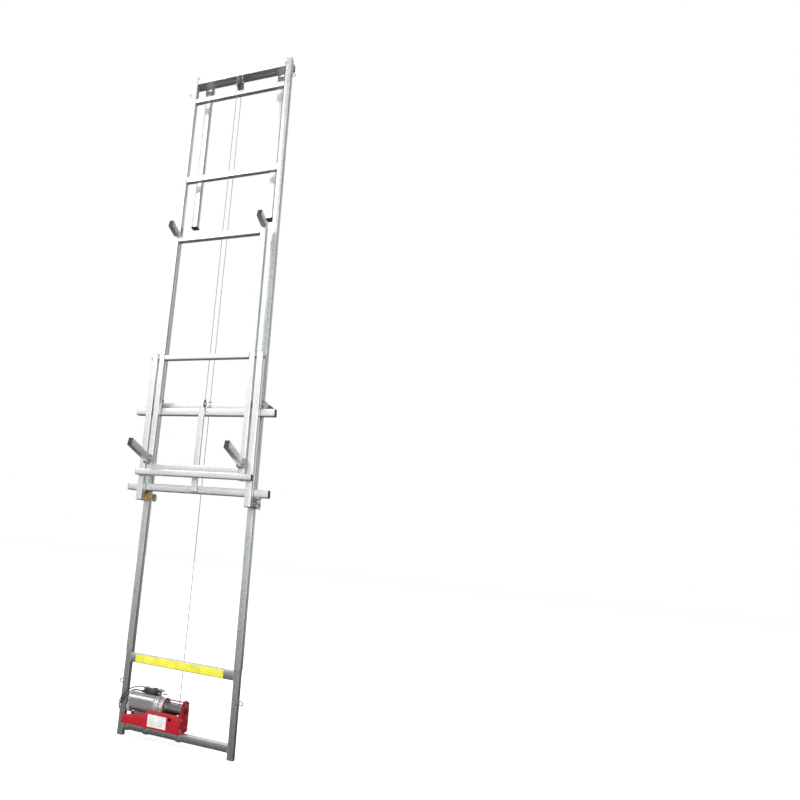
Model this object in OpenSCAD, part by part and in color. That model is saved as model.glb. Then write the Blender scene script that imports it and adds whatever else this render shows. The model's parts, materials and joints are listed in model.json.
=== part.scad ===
/* [Mast] */
// Distance between the centres of the two rails
rail_spacing = 680; // [640:5:720]
// Height of the mast above the floor
mast_h = 4305; // [4290:5:4400]
// Outer width of the rail tube
rail_w = 40; // [40:1:41]
// Wall thickness of every square tube
wall = 2.5; // [2:0.5:3]
// Height of the narrower base legs, up to where the rails start
leg_h = 455; // [455:1:470]

/* [Carriage] */
// Height of the lower crossbar's underside at rest
carriage_z = 1394; // [1380:1:1410]
// Distance from the lower crossbar's underside to the upper crossbar's top
carriage_h = 514; // [510:1:520]
// Length of each crossbar
crossbar_len = 904; // [860:2:940]
// Height of each crossbar
crossbar_h = 44; // [40:1:44]
// Tread radius of the guide rollers
roller_r = 22; // [21:0.5:22]

/* [Tray] */
// Outer width of the tray's tube
tray_w = 36; // [34:1:36]
// Distance between the outer faces of the tray's posts
tray_span = 634; // [630:1:634]
// Height of the ledge's underside at rest
tray_z = 1480; // [1478:1:1482]
// Height of the tray from the ledge's underside to its top
tray_h = 1566; // [1500:2:1580]
// Length of the ledge bar
ledge_len = 740; // [700:2:760]
// Length of each folding arm from its hinge
arm_len = 239; // [220:1:260]
// Upward slope of the arms
arm_slope = 15; // [10:1:18]

/* [Hoist] */
// Radius at which the rope lies on the drum
drum_pitch_r = 26; // [26:0.5:27]
// Height of the drum's centre
drum_z = 190; // [188:1:192]
// Diameter of the wire rope
rope_d = 4; // [3:0.5:4]
// Radius at which the rope lies in the top pulley
sheave_pitch_r = 38; // [38:0.5:38.5]

/* [Mains lead] */
// Diameter of the mains lead
lead_d = 7; // [6:0.5:7]

/* [Hidden] */

// places along X
rail_x = rail_spacing / 2;
leg_w = rail_w - 2 * wall;
leg_inner = rail_x - leg_w / 2;
rail_inner = rail_x - rail_w / 2;
rail_outer = rail_x + rail_w / 2;
post_x = tray_span / 2 - tray_w / 2;
upright_w = 40;
upright_x = rail_x + 8;

// planes along Y, the front being negative
crossbar_d = 40;
crossbar_y = -rail_w / 2 - 10 - crossbar_d / 2;
centre_bar_d = 20;
upright_y = crossbar_y - crossbar_d / 2 - upright_w / 2;
tray_y = upright_y - 3;
tray_front = tray_y - tray_w / 2;
ledge_y = tray_front - tray_w / 2;
fall_y = crossbar_y;
sheave_y = fall_y + sheave_pitch_r;
up_y = drum_pitch_r;

// heights
carriage_top = carriage_z + carriage_h;
pivot_z = carriage_top + 314;
upright_z = carriage_z - 58;
upright_top = pivot_z + 24;
beam_z = 4250;
sheave_z = beam_z - 60;
mid_bar_z = 1933;
upper_bar_z = 3513;
second_bar_z = 4122;
splice_z = 2465;
eye_r = 14;
eye_hole_r = 8;
roller_gap = 0.3;
flange_r = roller_r + 3.3;
top_roller_z = carriage_top + 30;
low_roller_z = carriage_z - 32;
bar_d = 32;
roller_y = rail_w / 2 + roller_gap + roller_r;
axle_r = 6;
pivot_r = 8;
running = 0.05;

// landing legs
landing_x = 266;
landing_y = rail_w + 42;
landing_pivot_z = beam_z - 35;
landing_len = 1040;
landing_hole_r = 5.5;

// folding arms
arm_w = 30;
arm_h = 46;
arm_y = tray_front - 26;
arm_z = tray_z + 99;
upper_arm_len = 90;
arm_pin_r = 5;

// hoist
chassis_z = 75;
chassis_y = 55;
chassis_end = -318;
sheet = 4;
motor_r = 52;
motor_x = [-290, -126];
fan_len = 24;
fan_z = 158;
fan_r = 28;
end_plate_x = 44;
inner_plate_x = -66;
cap_z = drum_z + motor_r + 20;
cap_x = [-213, -128];

// the mains lead, from its gland round the left leg to the floor and along it to the coil
lead_route = [
  [-235, -3, 252], [-246, -3.3, 252.4], [-258, -5, 253], [-270, -8, 252.5], [-282, -12, 250],
  [-294, -17, 243], [-305, -22, 231], [-315, -26.5, 217], [-327, -29.5, 203], [-339, -30, 190],
  [-350, -27.5, 177], [-360, -21, 165], [-367.5, -9, 153], [-371, 5, 138], [-371, 19, 122],
  [-370, 31, 106], [-371, 44, 88], [-375, 58, 67], [-381, 73, 45], [-387, 90, 25],
  [-393, 108, 10.5], [-396, 127, 4.3], [-395, 144, 3.5], [-390, 162, 3.5], [-381, 180, 3.5],
  [-368, 197, 3.5], [-353, 213, 3.5], [-336, 227, 3.5], [-317, 239, 3.5], [-297, 248, 3.5],
  [-276, 254.5, 3.5], [-255, 256.5, 3.5],
];
// the lead that joins the capacitor to the motor's end, round the left leg
motor_route = [
  [-213.1, 0, 273], [-228, 0, 273.8], [-243, -4, 275.5], [-258, -9, 273], [-273, -15, 268],
  [-288, -21, 262], [-303, -26, 253], [-317, -29, 241], [-329, -30.5, 227], [-340, -31, 212],
  [-350, -29, 197], [-359, -22, 185], [-366, -10, 175], [-369, 5, 167], [-366, 19, 162],
  [-361, 32, 159], [-353, 45, 158], [-342, 53, 158], [-329, 56, 158],
  [-316, 52, 158], [-306, 42, 158], [-302.5, 28.2, 158],
];
coil_at = [-255, 300, 0];
coil_r = 40;
plug_at = [-355, 343.5, 0];

function mid_point(a, b, c, d, t) =
  0.5 * (2 * b + (c - a) * t + (2 * a - 5 * b + 4 * c - d) * t * t
  + (3 * b - a - 3 * c + d) * t * t * t);
function smooth_route(r, steps) = [
  for (i = [0 : len(r) - 2], s = [0 : steps - 1])
    mid_point(r[max(i - 1, 0)], r[i], r[i + 1], r[min(i + 2, len(r) - 1)], s / steps),
  r[len(r) - 1]
];
function unit(v) = v / norm(v);
function heading(r, i) = unit(r[min(i + 1, len(r) - 1)] - r[max(i - 1, 0)]);
function ring(p, t, radius, sides) =
  let (side = unit(cross(t, [0.31, 0.95, 0.05])), up = cross(side, t))
  [for (k = [0 : sides - 1]) p + radius * (cos(360 * k / sides) * side + sin(360 * k / sides) * up)];

// a round solid swept along a route
module sweep(route, radius, sides = 8) {
  rings = len(route);
  points = [for (i = [0 : rings - 1]) each ring(route[i], heading(route, i), radius, sides)];
  walls = [
    for (i = [0 : rings - 2], k = [0 : sides - 1])
      let (n = (k + 1) % sides)
      each [
        [i * sides + k, (i + 1) * sides + k, (i + 1) * sides + n],
        [i * sides + k, (i + 1) * sides + n, i * sides + n],
      ]
  ];
  first_end = [for (k = [0 : sides - 1]) k];
  last_end = [for (k = [sides - 1 : -1 : 0]) (rings - 1) * sides + k];
  polyhedron(points, concat(walls, [first_end, last_end]));
}

// a box given by its centre and size
module block(centre, size) {
  translate(centre) cube(size, center = true);
}

// a square tube standing along Z, from z = low to z = high
module tube_z(x, y, low, high, w, d) {
  translate([x, y, low])
    linear_extrude(high - low) difference() {
      square([w, d], center = true);
      square([w - 2 * wall, d - 2 * wall], center = true);
    }
}

// a square tube lying along X, centred on x = 0
module tube_x(y, z, length, d, h) {
  translate([-length / 2, y, z]) rotate([90, 0, 90])
    linear_extrude(length) difference() {
      square([d, h], center = true);
      square([d - 2 * wall, h - 2 * wall], center = true);
    }
}

// a cylinder along X
module rod_x(x, y, z, length, r) {
  translate([x, y, z]) rotate([0, 90, 0]) cylinder(h = length, r = r, $fn = 48);
}

// a cylinder along Y
module rod_y(x, y, z, length, r) {
  translate([x, y, z]) rotate([-90, 0, 0]) cylinder(h = length, r = r, $fn = 48);
}

module both_sides() {
  children();
  mirror([1, 0, 0]) children();
}

// ---- mast ----
module base_leg(side) {
  color("gainsboro") tube_z(side * rail_x, 0, 0, leg_h + 60, leg_w, leg_w);
}

module rail(side) {
  color("gainsboro") translate([side * rail_x, 0, leg_h]) linear_extrude(mast_h - leg_h)
    difference() {
      square(rail_w, center = true);
      square(leg_w + 0.1, center = true);
    }
}

module mast_plugs() {
  inner = rail_w - 2 * wall - 0.4;
  foot = leg_w - 2 * wall - 0.4;
  color("#1b1c1d") both_sides() {
    block([rail_x, 0, mast_h - 10], [inner, inner, 20]);
    block([rail_x, 0, mast_h + 1.5], [rail_w, rail_w, 3]);
    block([rail_x, 0, 12], [foot, foot, 22]);
  }
}

// inner sleeves that join the two lengths of each rail
module rail_splices() {
  w = rail_w - 2 * wall - 0.4;
  color("darkgray") both_sides() tube_z(rail_x, 0, splice_z - 150, splice_z + 150, w, w);
}

module bottom_bar() {
  color("gainsboro") tube_x(0, 55, 2 * leg_inner, 36, 40);
}

module label_bar() {
  color("gainsboro") tube_x(0, 425, 2 * leg_inner, 36, 50);
}

// crossbar with a bolted plate on each end
module mid_bar() {
  plate = 4;
  color("gainsboro") {
    tube_x(0, mid_bar_z, 2 * rail_inner - 2 * plate, bar_d, 40);
    both_sides() block([rail_inner - plate / 2, 0, mid_bar_z], [plate, bar_d, 96]);
  }
}

module upper_bar() {
  color("gainsboro") tube_x(0, upper_bar_z, 2 * rail_inner, bar_d, 44);
}

module second_bar() {
  color("gainsboro") tube_x(0, second_bar_z, 2 * rail_inner, bar_d, 36);
}

module top_beam() {
  color("gainsboro") tube_x(0, beam_z + 20, 2 * rail_inner, rail_w, 40);
}

module rear_beam() {
  color("gainsboro") tube_x(rail_w, beam_z + 20, 2 * rail_outer, rail_w, 40);
}

// welded eyes on the outer faces of the mast
module eye_ring(x, z) {
  thick = 8;
  color("silver") difference() {
    rod_y(x, -thick / 2, z, thick, eye_r);
    rod_y(x, -thick, z, 2 * thick, eye_hole_r);
  }
}

module eye_rings() {
  both_sides() {
    eye_ring(rail_x + leg_w / 2 + eye_r, 288);
    eye_ring(rail_outer + eye_r, 4185);
  }
}

// plates behind the rear beam that carry each landing leg, with its pin
module leg_brackets() {
  beam_back = rail_w * 1.5;
  plate = 4;
  reach = landing_y + 22 - beam_back;
  color("silver") both_sides() for (s = [-1, 1]) {
    x = landing_x + s * (20.7 + plate / 2);
    block([x, beam_back + reach / 2, beam_z + 4], [plate, reach, 72]);
  }
  color("dimgray") both_sides()
    rod_x(landing_x - 30, landing_y, landing_pivot_z, 60, axle_r);
}

module pulley_bracket() {
  cheek = 4;
  color("silver") both_sides() difference() {
    union() {
      block([15.5 + cheek / 2, sheave_y, sheave_z + 27], [cheek, 34, 66]);
      rod_x(15.5, sheave_y, sheave_z, cheek, 17);
    }
    rod_x(15, sheave_y, sheave_z, 5, pivot_r);
  }
}

module pulley_axle() {
  color("dimgray") {
    rod_x(-24, sheave_y, sheave_z, 48, pivot_r - 0.02);
    rod_x(-28, sheave_y, sheave_z, 8, 12);
    rod_x(20, sheave_y, sheave_z, 8, 12);
  }
}

// grooved pulley at the head of the mast
module sheave() {
  half = 11;
  groove = rope_d / 2 + 0.35;
  color("#5d6062") translate([0, sheave_y, sheave_z]) rotate([0, 90, 0])
    rotate_extrude($fn = 96) difference() {
      translate([pivot_r - 0.02 + running, -half]) square([36, 2 * half]);
      translate([sheave_pitch_r, 0]) circle(groove, $fn = 32);
      polygon([
        [sheave_pitch_r, -groove], [46, -half + 1.5], [46, half - 1.5], [sheave_pitch_r, groove]
      ]);
    }
}

// ---- hoist ----
// outline of the chassis's side, low under the motor and tall beside the drum
module chassis_outline() {
  difference() {
    polygon([
      [chassis_end, chassis_z], [end_plate_x, chassis_z], [end_plate_x, 172],
      [-150, 172], [-183, 143], [chassis_end, 120]
    ]);
    translate([-17, 142]) circle(9, $fn = 32);
  }
}

module hoist_chassis() {
  length = end_plate_x - chassis_end;
  color("#b3261e") {
    for (y = [-chassis_y + sheet, chassis_y])
      translate([0, y, 0]) rotate([90, 0, 0]) linear_extrude(sheet) chassis_outline();
    block([chassis_end + length / 2, 0, chassis_z + sheet / 2],
      [length, 2 * (chassis_y - sheet), sheet]);
  }
}

// a plate across the hoist with a round top
module side_plate(x, half_y, foot, top, bore) {
  translate([x, 0, 0]) rotate([90, 0, 90]) linear_extrude(sheet) difference() {
    union() {
      translate([-half_y, foot]) square([2 * half_y, top - half_y * 0.6 - foot]);
      intersection() {
        translate([0, drum_z]) circle(top - drum_z, $fn = 96);
        translate([-half_y, foot]) square([2 * half_y, top - foot]);
      }
    }
    translate([0, drum_z]) circle(bore, $fn = 48);
  }
}

module hoist_side_plates() {
  color("#a5201a") side_plate(end_plate_x, 57, 80, 247, 10);
  color("#5c1512") side_plate(inner_plate_x - sheet, 50, 80, 243, 10);
}

// cast motor case with a rounded square section and fins along its sides
module motor_body() {
  half = motor_r - 6;
  corner = 24;
  fins = 3;
  color("#aab0b2") translate([motor_x[0], 0, drum_z]) rotate([90, 0, 90])
    linear_extrude(motor_x[1] - motor_x[0]) {
      square([2 * half, 2 * (half - corner)], center = true);
      square([2 * (half - corner), 2 * half], center = true);
      for (u = [-1, 1], v = [-1, 1])
        translate([u, v] * (half - corner)) circle(corner, $fn = 64);
      for (k = [-fins : fins]) translate([0, 11 * k]) square([100 - 2.2 * k * k, 3.5], center = true);
      translate([0, half + 2]) square([26, 8], center = true);
    }
  foot_low = chassis_z + sheet;
  color("#aab0b2")
    block([-225, 0, (foot_low + drum_z - half + 2) / 2], [60, 40, drum_z - half + 2 - foot_low]);
}

module fan_cover() {
  color("#3a4148") translate([motor_x[0] - fan_len, 0, fan_z]) rotate([0, 90, 0])
    rotate_extrude($fn = 64)
      polygon([[0, 0], [fan_r - 5, 0], [fan_r, 5], [fan_r, fan_len], [0, fan_len]]);
}

// cast flange and gear case between the motor and the drum
module gear_housing() {
  flange = 26;
  color("silver") {
    rod_x(motor_x[1], 0, drum_z, flange, 54);
    rod_x(motor_x[1] + flange, 0, drum_z, inner_plate_x - sheet - motor_x[1] - flange, 40);
    block([motor_x[1] + flange / 2, -8, drum_z + 72], [10, 30, 46]);
    block([motor_x[1] + flange / 2, 0, (chassis_z + sheet + drum_z - 50) / 2],
      [flange, 60, drum_z - 50 - chassis_z - sheet]);
  }
}

module capacitor() {
  color("#141516") {
    rod_x(cap_x[0], 0, cap_z, cap_x[1] - cap_x[0], 19.5);
    block([-165, 0, drum_z + motor_r + 7], [50, 26, 14]);
  }
}

// straps under the bottom bar that hold the hoist down, with their bolts
module hoist_clamps() {
  strap = 3;
  width = 28;
  bar_low = 35;
  reach = 18.3;
  color("silver") for (x = [-300, -174, 30]) {
    block([x, 0, bar_low - strap / 2 - 0.2], [width, 2 * (reach + strap), strap]);
    for (s = [-1, 1]) {
      block([x, s * (reach + strap / 2), (bar_low + chassis_z) / 2 - 1.6],
        [width, strap, chassis_z - bar_low + 3.2]);
      block([x, s * (reach + 13), chassis_z - strap / 2], [width, 20, strap]);
      translate([x, s * 34, chassis_z - strap - 10]) cylinder(h = 10, r = 6.5, $fn = 6);
      translate([x, s * 34, chassis_z + sheet]) cylinder(h = 6, r = 7, $fn = 6);
    }
  }
}

module drum_shaft() {
  start = inner_plate_x - sheet;
  color("dimgray") {
    rod_x(start, 0, drum_z, end_plate_x + sheet - start, 9.95);
    rod_x(end_plate_x + sheet, 0, drum_z, 8, 15);
  }
}

// the drum with the lay of wire rope on it
module drum() {
  start = inner_plate_x + 2;
  length = end_plate_x - 2 - start;
  rim = 4;
  turns = 22;
  first = 8;
  pitch = rope_d + 0.05;
  core = drum_pitch_r - rope_d;
  color("lightsteelblue") translate([start, 0, drum_z]) rotate([0, 90, 0]) difference() {
    rotate_extrude($fn = 96) {
      difference() {
        square([core, length]);
        square([9.95 + running, length]);
      }
      for (y = [0, length - rim]) translate([core - 1, y]) square([43 - core, rim]);
      for (k = [0 : turns - 1]) translate([core, first + k * pitch])
        circle(rope_d / 2 - 0.5, $fn = 16);
    }
  }
}

// rope from the back of the drum to the back of the pulley
module rope_up() {
  color("lightgray") translate([0, up_y, drum_z])
    cylinder(h = sheave_z - drum_z, r = rope_d / 2 - 0.05, $fn = 16);
}

module motor_lead() {
  color("#101010") sweep(smooth_route(motor_route, 2), 3);
}

// ---- mains lead ----
module lead_gland() {
  color("#101010") translate([cap_x[0] - 22, -3, cap_z - 10]) rotate([0, 90, 0])
    cylinder(h = 22, r1 = lead_d / 2 + 1, r2 = 8, $fn = 32);
}

module mains_lead() {
  color("#101010") sweep(smooth_route(lead_route, 2), lead_d / 2);
}

module mains_coil() {
  color("#101010") translate(coil_at) rotate_extrude($fn = 64)
    translate([coil_r - lead_d, 0]) square([2 * lead_d, 3 * lead_d]);
}

// the plug, with the end of the lead that leaves the coil
module mains_plug() {
  body_len = 46;
  color("#101010") translate([plug_at[0], plug_at[1], 19]) rotate([0, 90, 0]) {
    cylinder(h = body_len, r = 18.5, $fn = 48);
    translate([0, 0, body_len]) cylinder(h = 12, r1 = 9, r2 = 5, $fn = 32);
    cylinder(h = 93, r = lead_d / 2, $fn = 32);
  }
  color("silver") for (s = [-1, 1])
    rod_x(plug_at[0] - 19, plug_at[1] + s * 9.5, 19, 19.5, 2.4);
}

// ---- carriage ----
module upright(side) {
  color("gainsboro") difference() {
    tube_z(side * upright_x, upright_y, upright_z, upright_top, upright_w, upright_w);
    rod_x(side * upright_x - upright_w, tray_y, pivot_z, 2 * upright_w, pivot_r + running);
  }
}

module crossbar(low) {
  color("gainsboro") tube_x(crossbar_y, low + crossbar_h / 2, crossbar_len, crossbar_d, crossbar_h);
}

module carriage_centre_bar() {
  front = crossbar_y - crossbar_d / 2;
  color("gainsboro")
    tube_z(0, front - centre_bar_d / 2, carriage_z + 10, carriage_top, 36, centre_bar_d);
}

// plates outside the rails that hold the rollers' axles
module roller_plates() {
  plate = 4;
  x = rail_outer + 5;
  front = crossbar_y - crossbar_d / 2;
  back = roller_y + 20;
  color("silver") both_sides() for (top = [0, 1]) {
    low = top ? carriage_top : upright_z;
    high = top ? carriage_top + 62 : carriage_z;
    difference() {
      union() {
        block([x + plate / 2, (front + back) / 2, (low + high) / 2], [plate, back - front, high - low]);
        block([x + 19, crossbar_y, top ? low + plate / 2 : high - plate / 2], [38, crossbar_d, plate]);
      }
      for (y = [-roller_y, roller_y])
        rod_x(x - 1, y, top ? top_roller_z : low_roller_z, plate + 2, axle_r);
    }
  }
}

module roller_axles() {
  inside = rail_x - 24;
  color("dimgray") both_sides() for (z = [top_roller_z, low_roller_z], y = [-roller_y, roller_y]) {
    rod_x(inside, y, z, rail_outer + 9 - inside, axle_r - 0.02);
    rod_x(rail_outer + 9, y, z, 6, 10);
    rod_x(inside - 4, y, z, 4, 10);
  }
}

// flanged rollers that straddle the rails, one pair on a common axis
module rollers(y, z) {
  half = rail_w / 2 + 0.5;
  flange = 3;
  color("#b5651d") both_sides() translate([rail_x, y, z]) rotate([0, 90, 0])
    rotate_extrude($fn = 96) difference() {
      union() {
        translate([0, -half - flange]) square([roller_r, 2 * (half + flange)]);
        for (s = [-half - flange, half]) translate([0, s]) square([flange_r, flange]);
      }
      translate([0, -half - 2 * flange])
        square([axle_r - 0.02 + running, 2 * (half + 2 * flange)]);
    }
}

// eye on the upper crossbar in which the rope ends
module rope_eye() {
  color("dimgray") {
    translate([0, fall_y, carriage_top]) cylinder(h = 14, r = 6, $fn = 32);
    difference() {
      rod_x(-3, fall_y, carriage_top + 22, 6, 12);
      rod_x(-4, fall_y, carriage_top + 22, 8, 6);
    }
  }
  color("silver") translate([0, fall_y, carriage_top + 33]) cylinder(h = 18, r = 4.5, $fn = 24);
}

module rope_fall() {
  start = carriage_top + 51;
  color("lightgray") translate([0, fall_y, start])
    cylinder(h = sheave_z - start, r = rope_d / 2 - 0.05, $fn = 16);
}

// ---- tray ----
module tray_post(side) {
  color("gainsboro") difference() {
    tube_z(side * post_x, tray_y, tray_z, tray_z + tray_h, tray_w, tray_w);
    rod_x(side * post_x - tray_w, tray_y, pivot_z, 2 * tray_w, pivot_r + 0.02);
  }
}

module tray_bar(z, h, d) {
  color("gainsboro") tube_x(tray_front + d / 2, z, 2 * post_x - tray_w, d, h);
}

module tray_ledge() {
  color("gainsboro") tube_x(ledge_y, tray_z + tray_w / 2, ledge_len, tray_w, tray_w);
}

// an arm that points forward from a point and rises along its slope
module arm(x, y, z, start, length, slope) {
  translate([x, y, z]) rotate([-slope, 0, 0]) rotate([90, 0, 0])
    translate([0, 0, start]) linear_extrude(length - start) difference() {
      square([arm_w, arm_h], center = true);
      square([arm_w - 2 * wall, arm_h - 2 * wall], center = true);
    }
}

// short fixed arms that stand on the top corners of the tray, cut flat where they rest on it
module upper_arms() {
  top = tray_z + tray_h;
  rise = arm_h / 2 / cos(arm_slope);
  color("gainsboro") both_sides() difference() {
    arm(post_x, tray_front, top + rise, -30, upper_arm_len, arm_slope);
    block([post_x, tray_y, top - 20], [arm_w + 2, 2 * tray_w, 40]);
  }
}

// lugs on the posts, each pair with the pin of a folding arm
module arm_lugs() {
  plate = 4;
  depth = 45;
  color("silver") both_sides() for (s = [-1, 1])
    block([post_x + s * (arm_w / 2 + 0.6 + plate / 2), tray_front - depth / 2, arm_z - 2],
      [plate, depth, 56]);
  color("dimgray") both_sides() rod_x(post_x - 25, arm_y, arm_z, 50, arm_pin_r);
}

// shouldered bolts on which the tray tips
module tray_pivots() {
  color("dimgray") both_sides() {
    rod_x(post_x - 14, tray_y, pivot_z, upright_x + upright_w / 2 + 8 - post_x + 14, pivot_r);
    rod_x(post_x + tray_w / 2, tray_y, pivot_z, 10.7, 15);
    rod_x(upright_x + upright_w / 2 + 0.5, tray_y, pivot_z, 8, 13);
  }
}

module folding_arm(side) {
  color("gainsboro") difference() {
    arm(side * post_x, arm_y, arm_z, -8, arm_len, arm_slope);
    rod_x(side * post_x - arm_w, arm_y, arm_z, 2 * arm_w, arm_pin_r + running);
  }
}

// tube that swings out from the head of the mast to rest on the building
module landing_leg(side) {
  low = landing_pivot_z + 25 - landing_len;
  color("gainsboro") difference() {
    tube_z(side * landing_x, landing_y, low, landing_pivot_z + 25, rail_w, rail_w);
    rod_x(side * landing_x - 30, landing_y, landing_pivot_z, 60, axle_r + running);
    for (k = [0 : 2])
      rod_x(side * landing_x - 30, landing_y, 3950 - 145 * k, 60, landing_hole_r);
  }
  color("#1b1c1d") block([side * landing_x, landing_y, low - 4], [rail_w + 4, rail_w + 4, 8]);
}

base_leg(-1);  // base_leg_left
base_leg(1);  // base_leg_right
rail(-1);  // rail_left
rail(1);  // rail_right
mast_plugs();
rail_splices();
bottom_bar();
label_bar();
mid_bar();
upper_bar();
second_bar();
top_beam();
rear_beam();
eye_rings();
leg_brackets();
pulley_bracket();
pulley_axle();
sheave();
hoist_chassis();
hoist_side_plates();
motor_body();
fan_cover();
gear_housing();
capacitor();
hoist_clamps();
drum_shaft();
drum();
rope_up();
motor_lead();
lead_gland();
mains_lead();
mains_coil();
mains_plug();
upright(-1);  // upright_left
upright(1);  // upright_right
crossbar(carriage_top - crossbar_h);  // carriage_top_bar
crossbar(carriage_z);  // carriage_bottom_bar
carriage_centre_bar();
roller_plates();
roller_axles();
rope_eye();
rope_fall();
rollers(-roller_y, top_roller_z);  // rollers_top_front
rollers(roller_y, top_roller_z);  // rollers_top_rear
rollers(-roller_y, low_roller_z);  // rollers_bottom_front
rollers(roller_y, low_roller_z);  // rollers_bottom_rear
tray_post(-1);  // tray_post_left
tray_post(1);  // tray_post_right
tray_bar(tray_z + tray_h - 20, 40, tray_w);  // tray_top_bar
tray_bar(pivot_z, 30, tray_w);  // tray_mid_bar
tray_bar(tray_z + 57, 40, 20);  // tray_bottom_bar
tray_ledge();
upper_arms();
arm_lugs();
tray_pivots();
folding_arm(-1);  // folding_arm_left
folding_arm(1);  // folding_arm_right
landing_leg(-1);  // landing_leg_left
landing_leg(1);  // landing_leg_right
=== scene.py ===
import bmesh
import bpy
import json
import math
from mathutils import Matrix, Vector

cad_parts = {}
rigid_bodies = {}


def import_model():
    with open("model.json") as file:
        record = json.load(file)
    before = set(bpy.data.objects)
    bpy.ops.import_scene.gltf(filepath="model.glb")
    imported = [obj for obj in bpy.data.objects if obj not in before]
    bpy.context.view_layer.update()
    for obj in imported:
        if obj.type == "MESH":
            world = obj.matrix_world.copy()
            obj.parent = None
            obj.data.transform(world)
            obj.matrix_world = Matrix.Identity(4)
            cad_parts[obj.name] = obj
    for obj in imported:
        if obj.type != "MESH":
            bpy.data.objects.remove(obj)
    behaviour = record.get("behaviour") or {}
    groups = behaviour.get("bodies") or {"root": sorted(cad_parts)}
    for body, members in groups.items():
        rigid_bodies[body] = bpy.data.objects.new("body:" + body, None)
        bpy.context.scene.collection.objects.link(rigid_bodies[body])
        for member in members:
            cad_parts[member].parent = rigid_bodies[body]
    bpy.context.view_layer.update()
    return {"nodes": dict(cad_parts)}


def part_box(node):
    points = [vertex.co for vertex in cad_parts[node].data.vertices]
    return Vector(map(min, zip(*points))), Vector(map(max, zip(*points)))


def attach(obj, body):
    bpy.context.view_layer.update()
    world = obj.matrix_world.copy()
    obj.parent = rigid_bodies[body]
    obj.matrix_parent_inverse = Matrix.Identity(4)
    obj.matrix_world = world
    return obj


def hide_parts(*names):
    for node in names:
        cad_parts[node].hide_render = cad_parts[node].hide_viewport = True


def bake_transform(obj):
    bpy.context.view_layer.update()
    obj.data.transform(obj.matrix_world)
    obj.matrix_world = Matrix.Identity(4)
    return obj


for left in list(bpy.data.objects):
    bpy.data.objects.remove(left)  # the start-up cube, camera and lamp
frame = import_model()
print("frame loaded with", len(frame["nodes"]), "nodes")

mm = 0.001
scene = bpy.context.scene

# ---- camera, floor and light ----
cameraView = {
    "place": (1.67005, -3.68224, 1.0609),
    "azimuth": 25.186, "pitch": 11.882, "roll": 5.978,
    "lens": 30.37, "shift": (0.2517, 0.0118),
}


def addCamera(view):
    data = bpy.data.cameras.new("studioCamera")
    data.lens, data.sensor_width = view["lens"], 36.0
    data.shift_x, data.shift_y = view["shift"]
    data.clip_end = 200
    camera = bpy.data.objects.new("studioCamera", data)
    scene.collection.objects.link(camera)
    turn = (Matrix.Rotation(math.radians(view["azimuth"]), 4, "Z")
            @ Matrix.Rotation(math.radians(90 + view["pitch"]), 4, "X")
            @ Matrix.Rotation(math.radians(view["roll"]), 4, "Z"))
    camera.matrix_world = Matrix.Translation(view["place"]) @ turn
    scene.camera = camera


def addSoftLight(name, place, target, size, power):
    data = bpy.data.lights.new(name, "AREA")
    data.shape, data.size, data.energy = "DISK", size, power
    lamp = bpy.data.objects.new(name, data)
    lamp.location = place
    lamp.rotation_euler = (Vector(target) - Vector(place)).to_track_quat("-Z", "Y").to_euler()
    scene.collection.objects.link(lamp)


addCamera(cameraView)
print("camera placed")

# ---- small helpers for shapes ----


def joinInto(bm, part):
    mesh = bpy.data.meshes.new("joining")
    part.to_mesh(mesh)
    part.free()
    bm.from_mesh(mesh)
    bpy.data.meshes.remove(mesh)


def softenEdges(part, edges, width, segments=2):
    bmesh.ops.bevel(part, geom=list(edges), offset=width, offset_type="OFFSET",
                    segments=segments, profile=0.5, affect="EDGES", material=-1, clamp_overlap=True)


def sharpEdges(part, angle=0.6):
    return [e for e in part.edges if len(e.link_faces) == 2 and e.calc_face_angle() > angle]


def alignTo(direction):
    return Vector(direction).to_track_quat("Z", "Y").to_matrix().to_4x4()


def addBlock(bm, low, high, soft=0.0, turn=None, segments=2):
    low, high = Vector(low), Vector(high)
    part = bmesh.new()
    size = high - low
    bmesh.ops.create_cube(part, size=1, matrix=Matrix.Translation((low + high) / 2)
                          @ Matrix.Diagonal((*size, 1)))
    if soft:
        softenEdges(part, part.edges, soft, segments)
    if turn:
        bmesh.ops.transform(part, matrix=turn, verts=part.verts)
    joinInto(bm, part)


def addRod(bm, start, end, radius, sides=32, soft=0.0, endRadius=None):
    start, end = Vector(start), Vector(end)
    part = bmesh.new()
    bmesh.ops.create_cone(part, cap_ends=True, segments=sides, radius1=radius,
                          radius2=radius if endRadius is None else endRadius,
                          depth=(end - start).length)
    if soft:
        softenEdges(part, [e for e in sharpEdges(part) if any(len(f.verts) > 4 for f in e.link_faces)], soft)
    bmesh.ops.transform(part, verts=part.verts,
                        matrix=Matrix.Translation((start + end) / 2) @ alignTo(end - start))
    joinInto(bm, part)


# outline is a list of (radius, height) from the axis out and back, turned about the direction
def addTurned(bm, place, direction, outline, steps=48):
    part = bmesh.new()
    points = [part.verts.new((r, 0, h)) for r, h in outline]
    for a, b in zip(points, points[1:] + points[:1]):
        part.edges.new((a, b))
    bmesh.ops.spin(part, geom=part.verts[:] + part.edges[:], cent=(0, 0, 0), axis=(0, 0, 1),
                   angle=math.tau, steps=steps, use_merge=True)
    bmesh.ops.remove_doubles(part, verts=part.verts, dist=1e-6)
    bmesh.ops.recalc_face_normals(part, faces=part.faces)
    bmesh.ops.transform(part, verts=part.verts,
                        matrix=Matrix.Translation(place) @ alignTo(direction))
    joinInto(bm, part)


def addTorus(bm, place, direction, big, small, steps=32, sides=12):
    ring = [(big + small * math.cos(math.tau * k / sides), small * math.sin(math.tau * k / sides))
            for k in range(sides)]
    addTurned(bm, place, direction, ring, steps)


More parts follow.
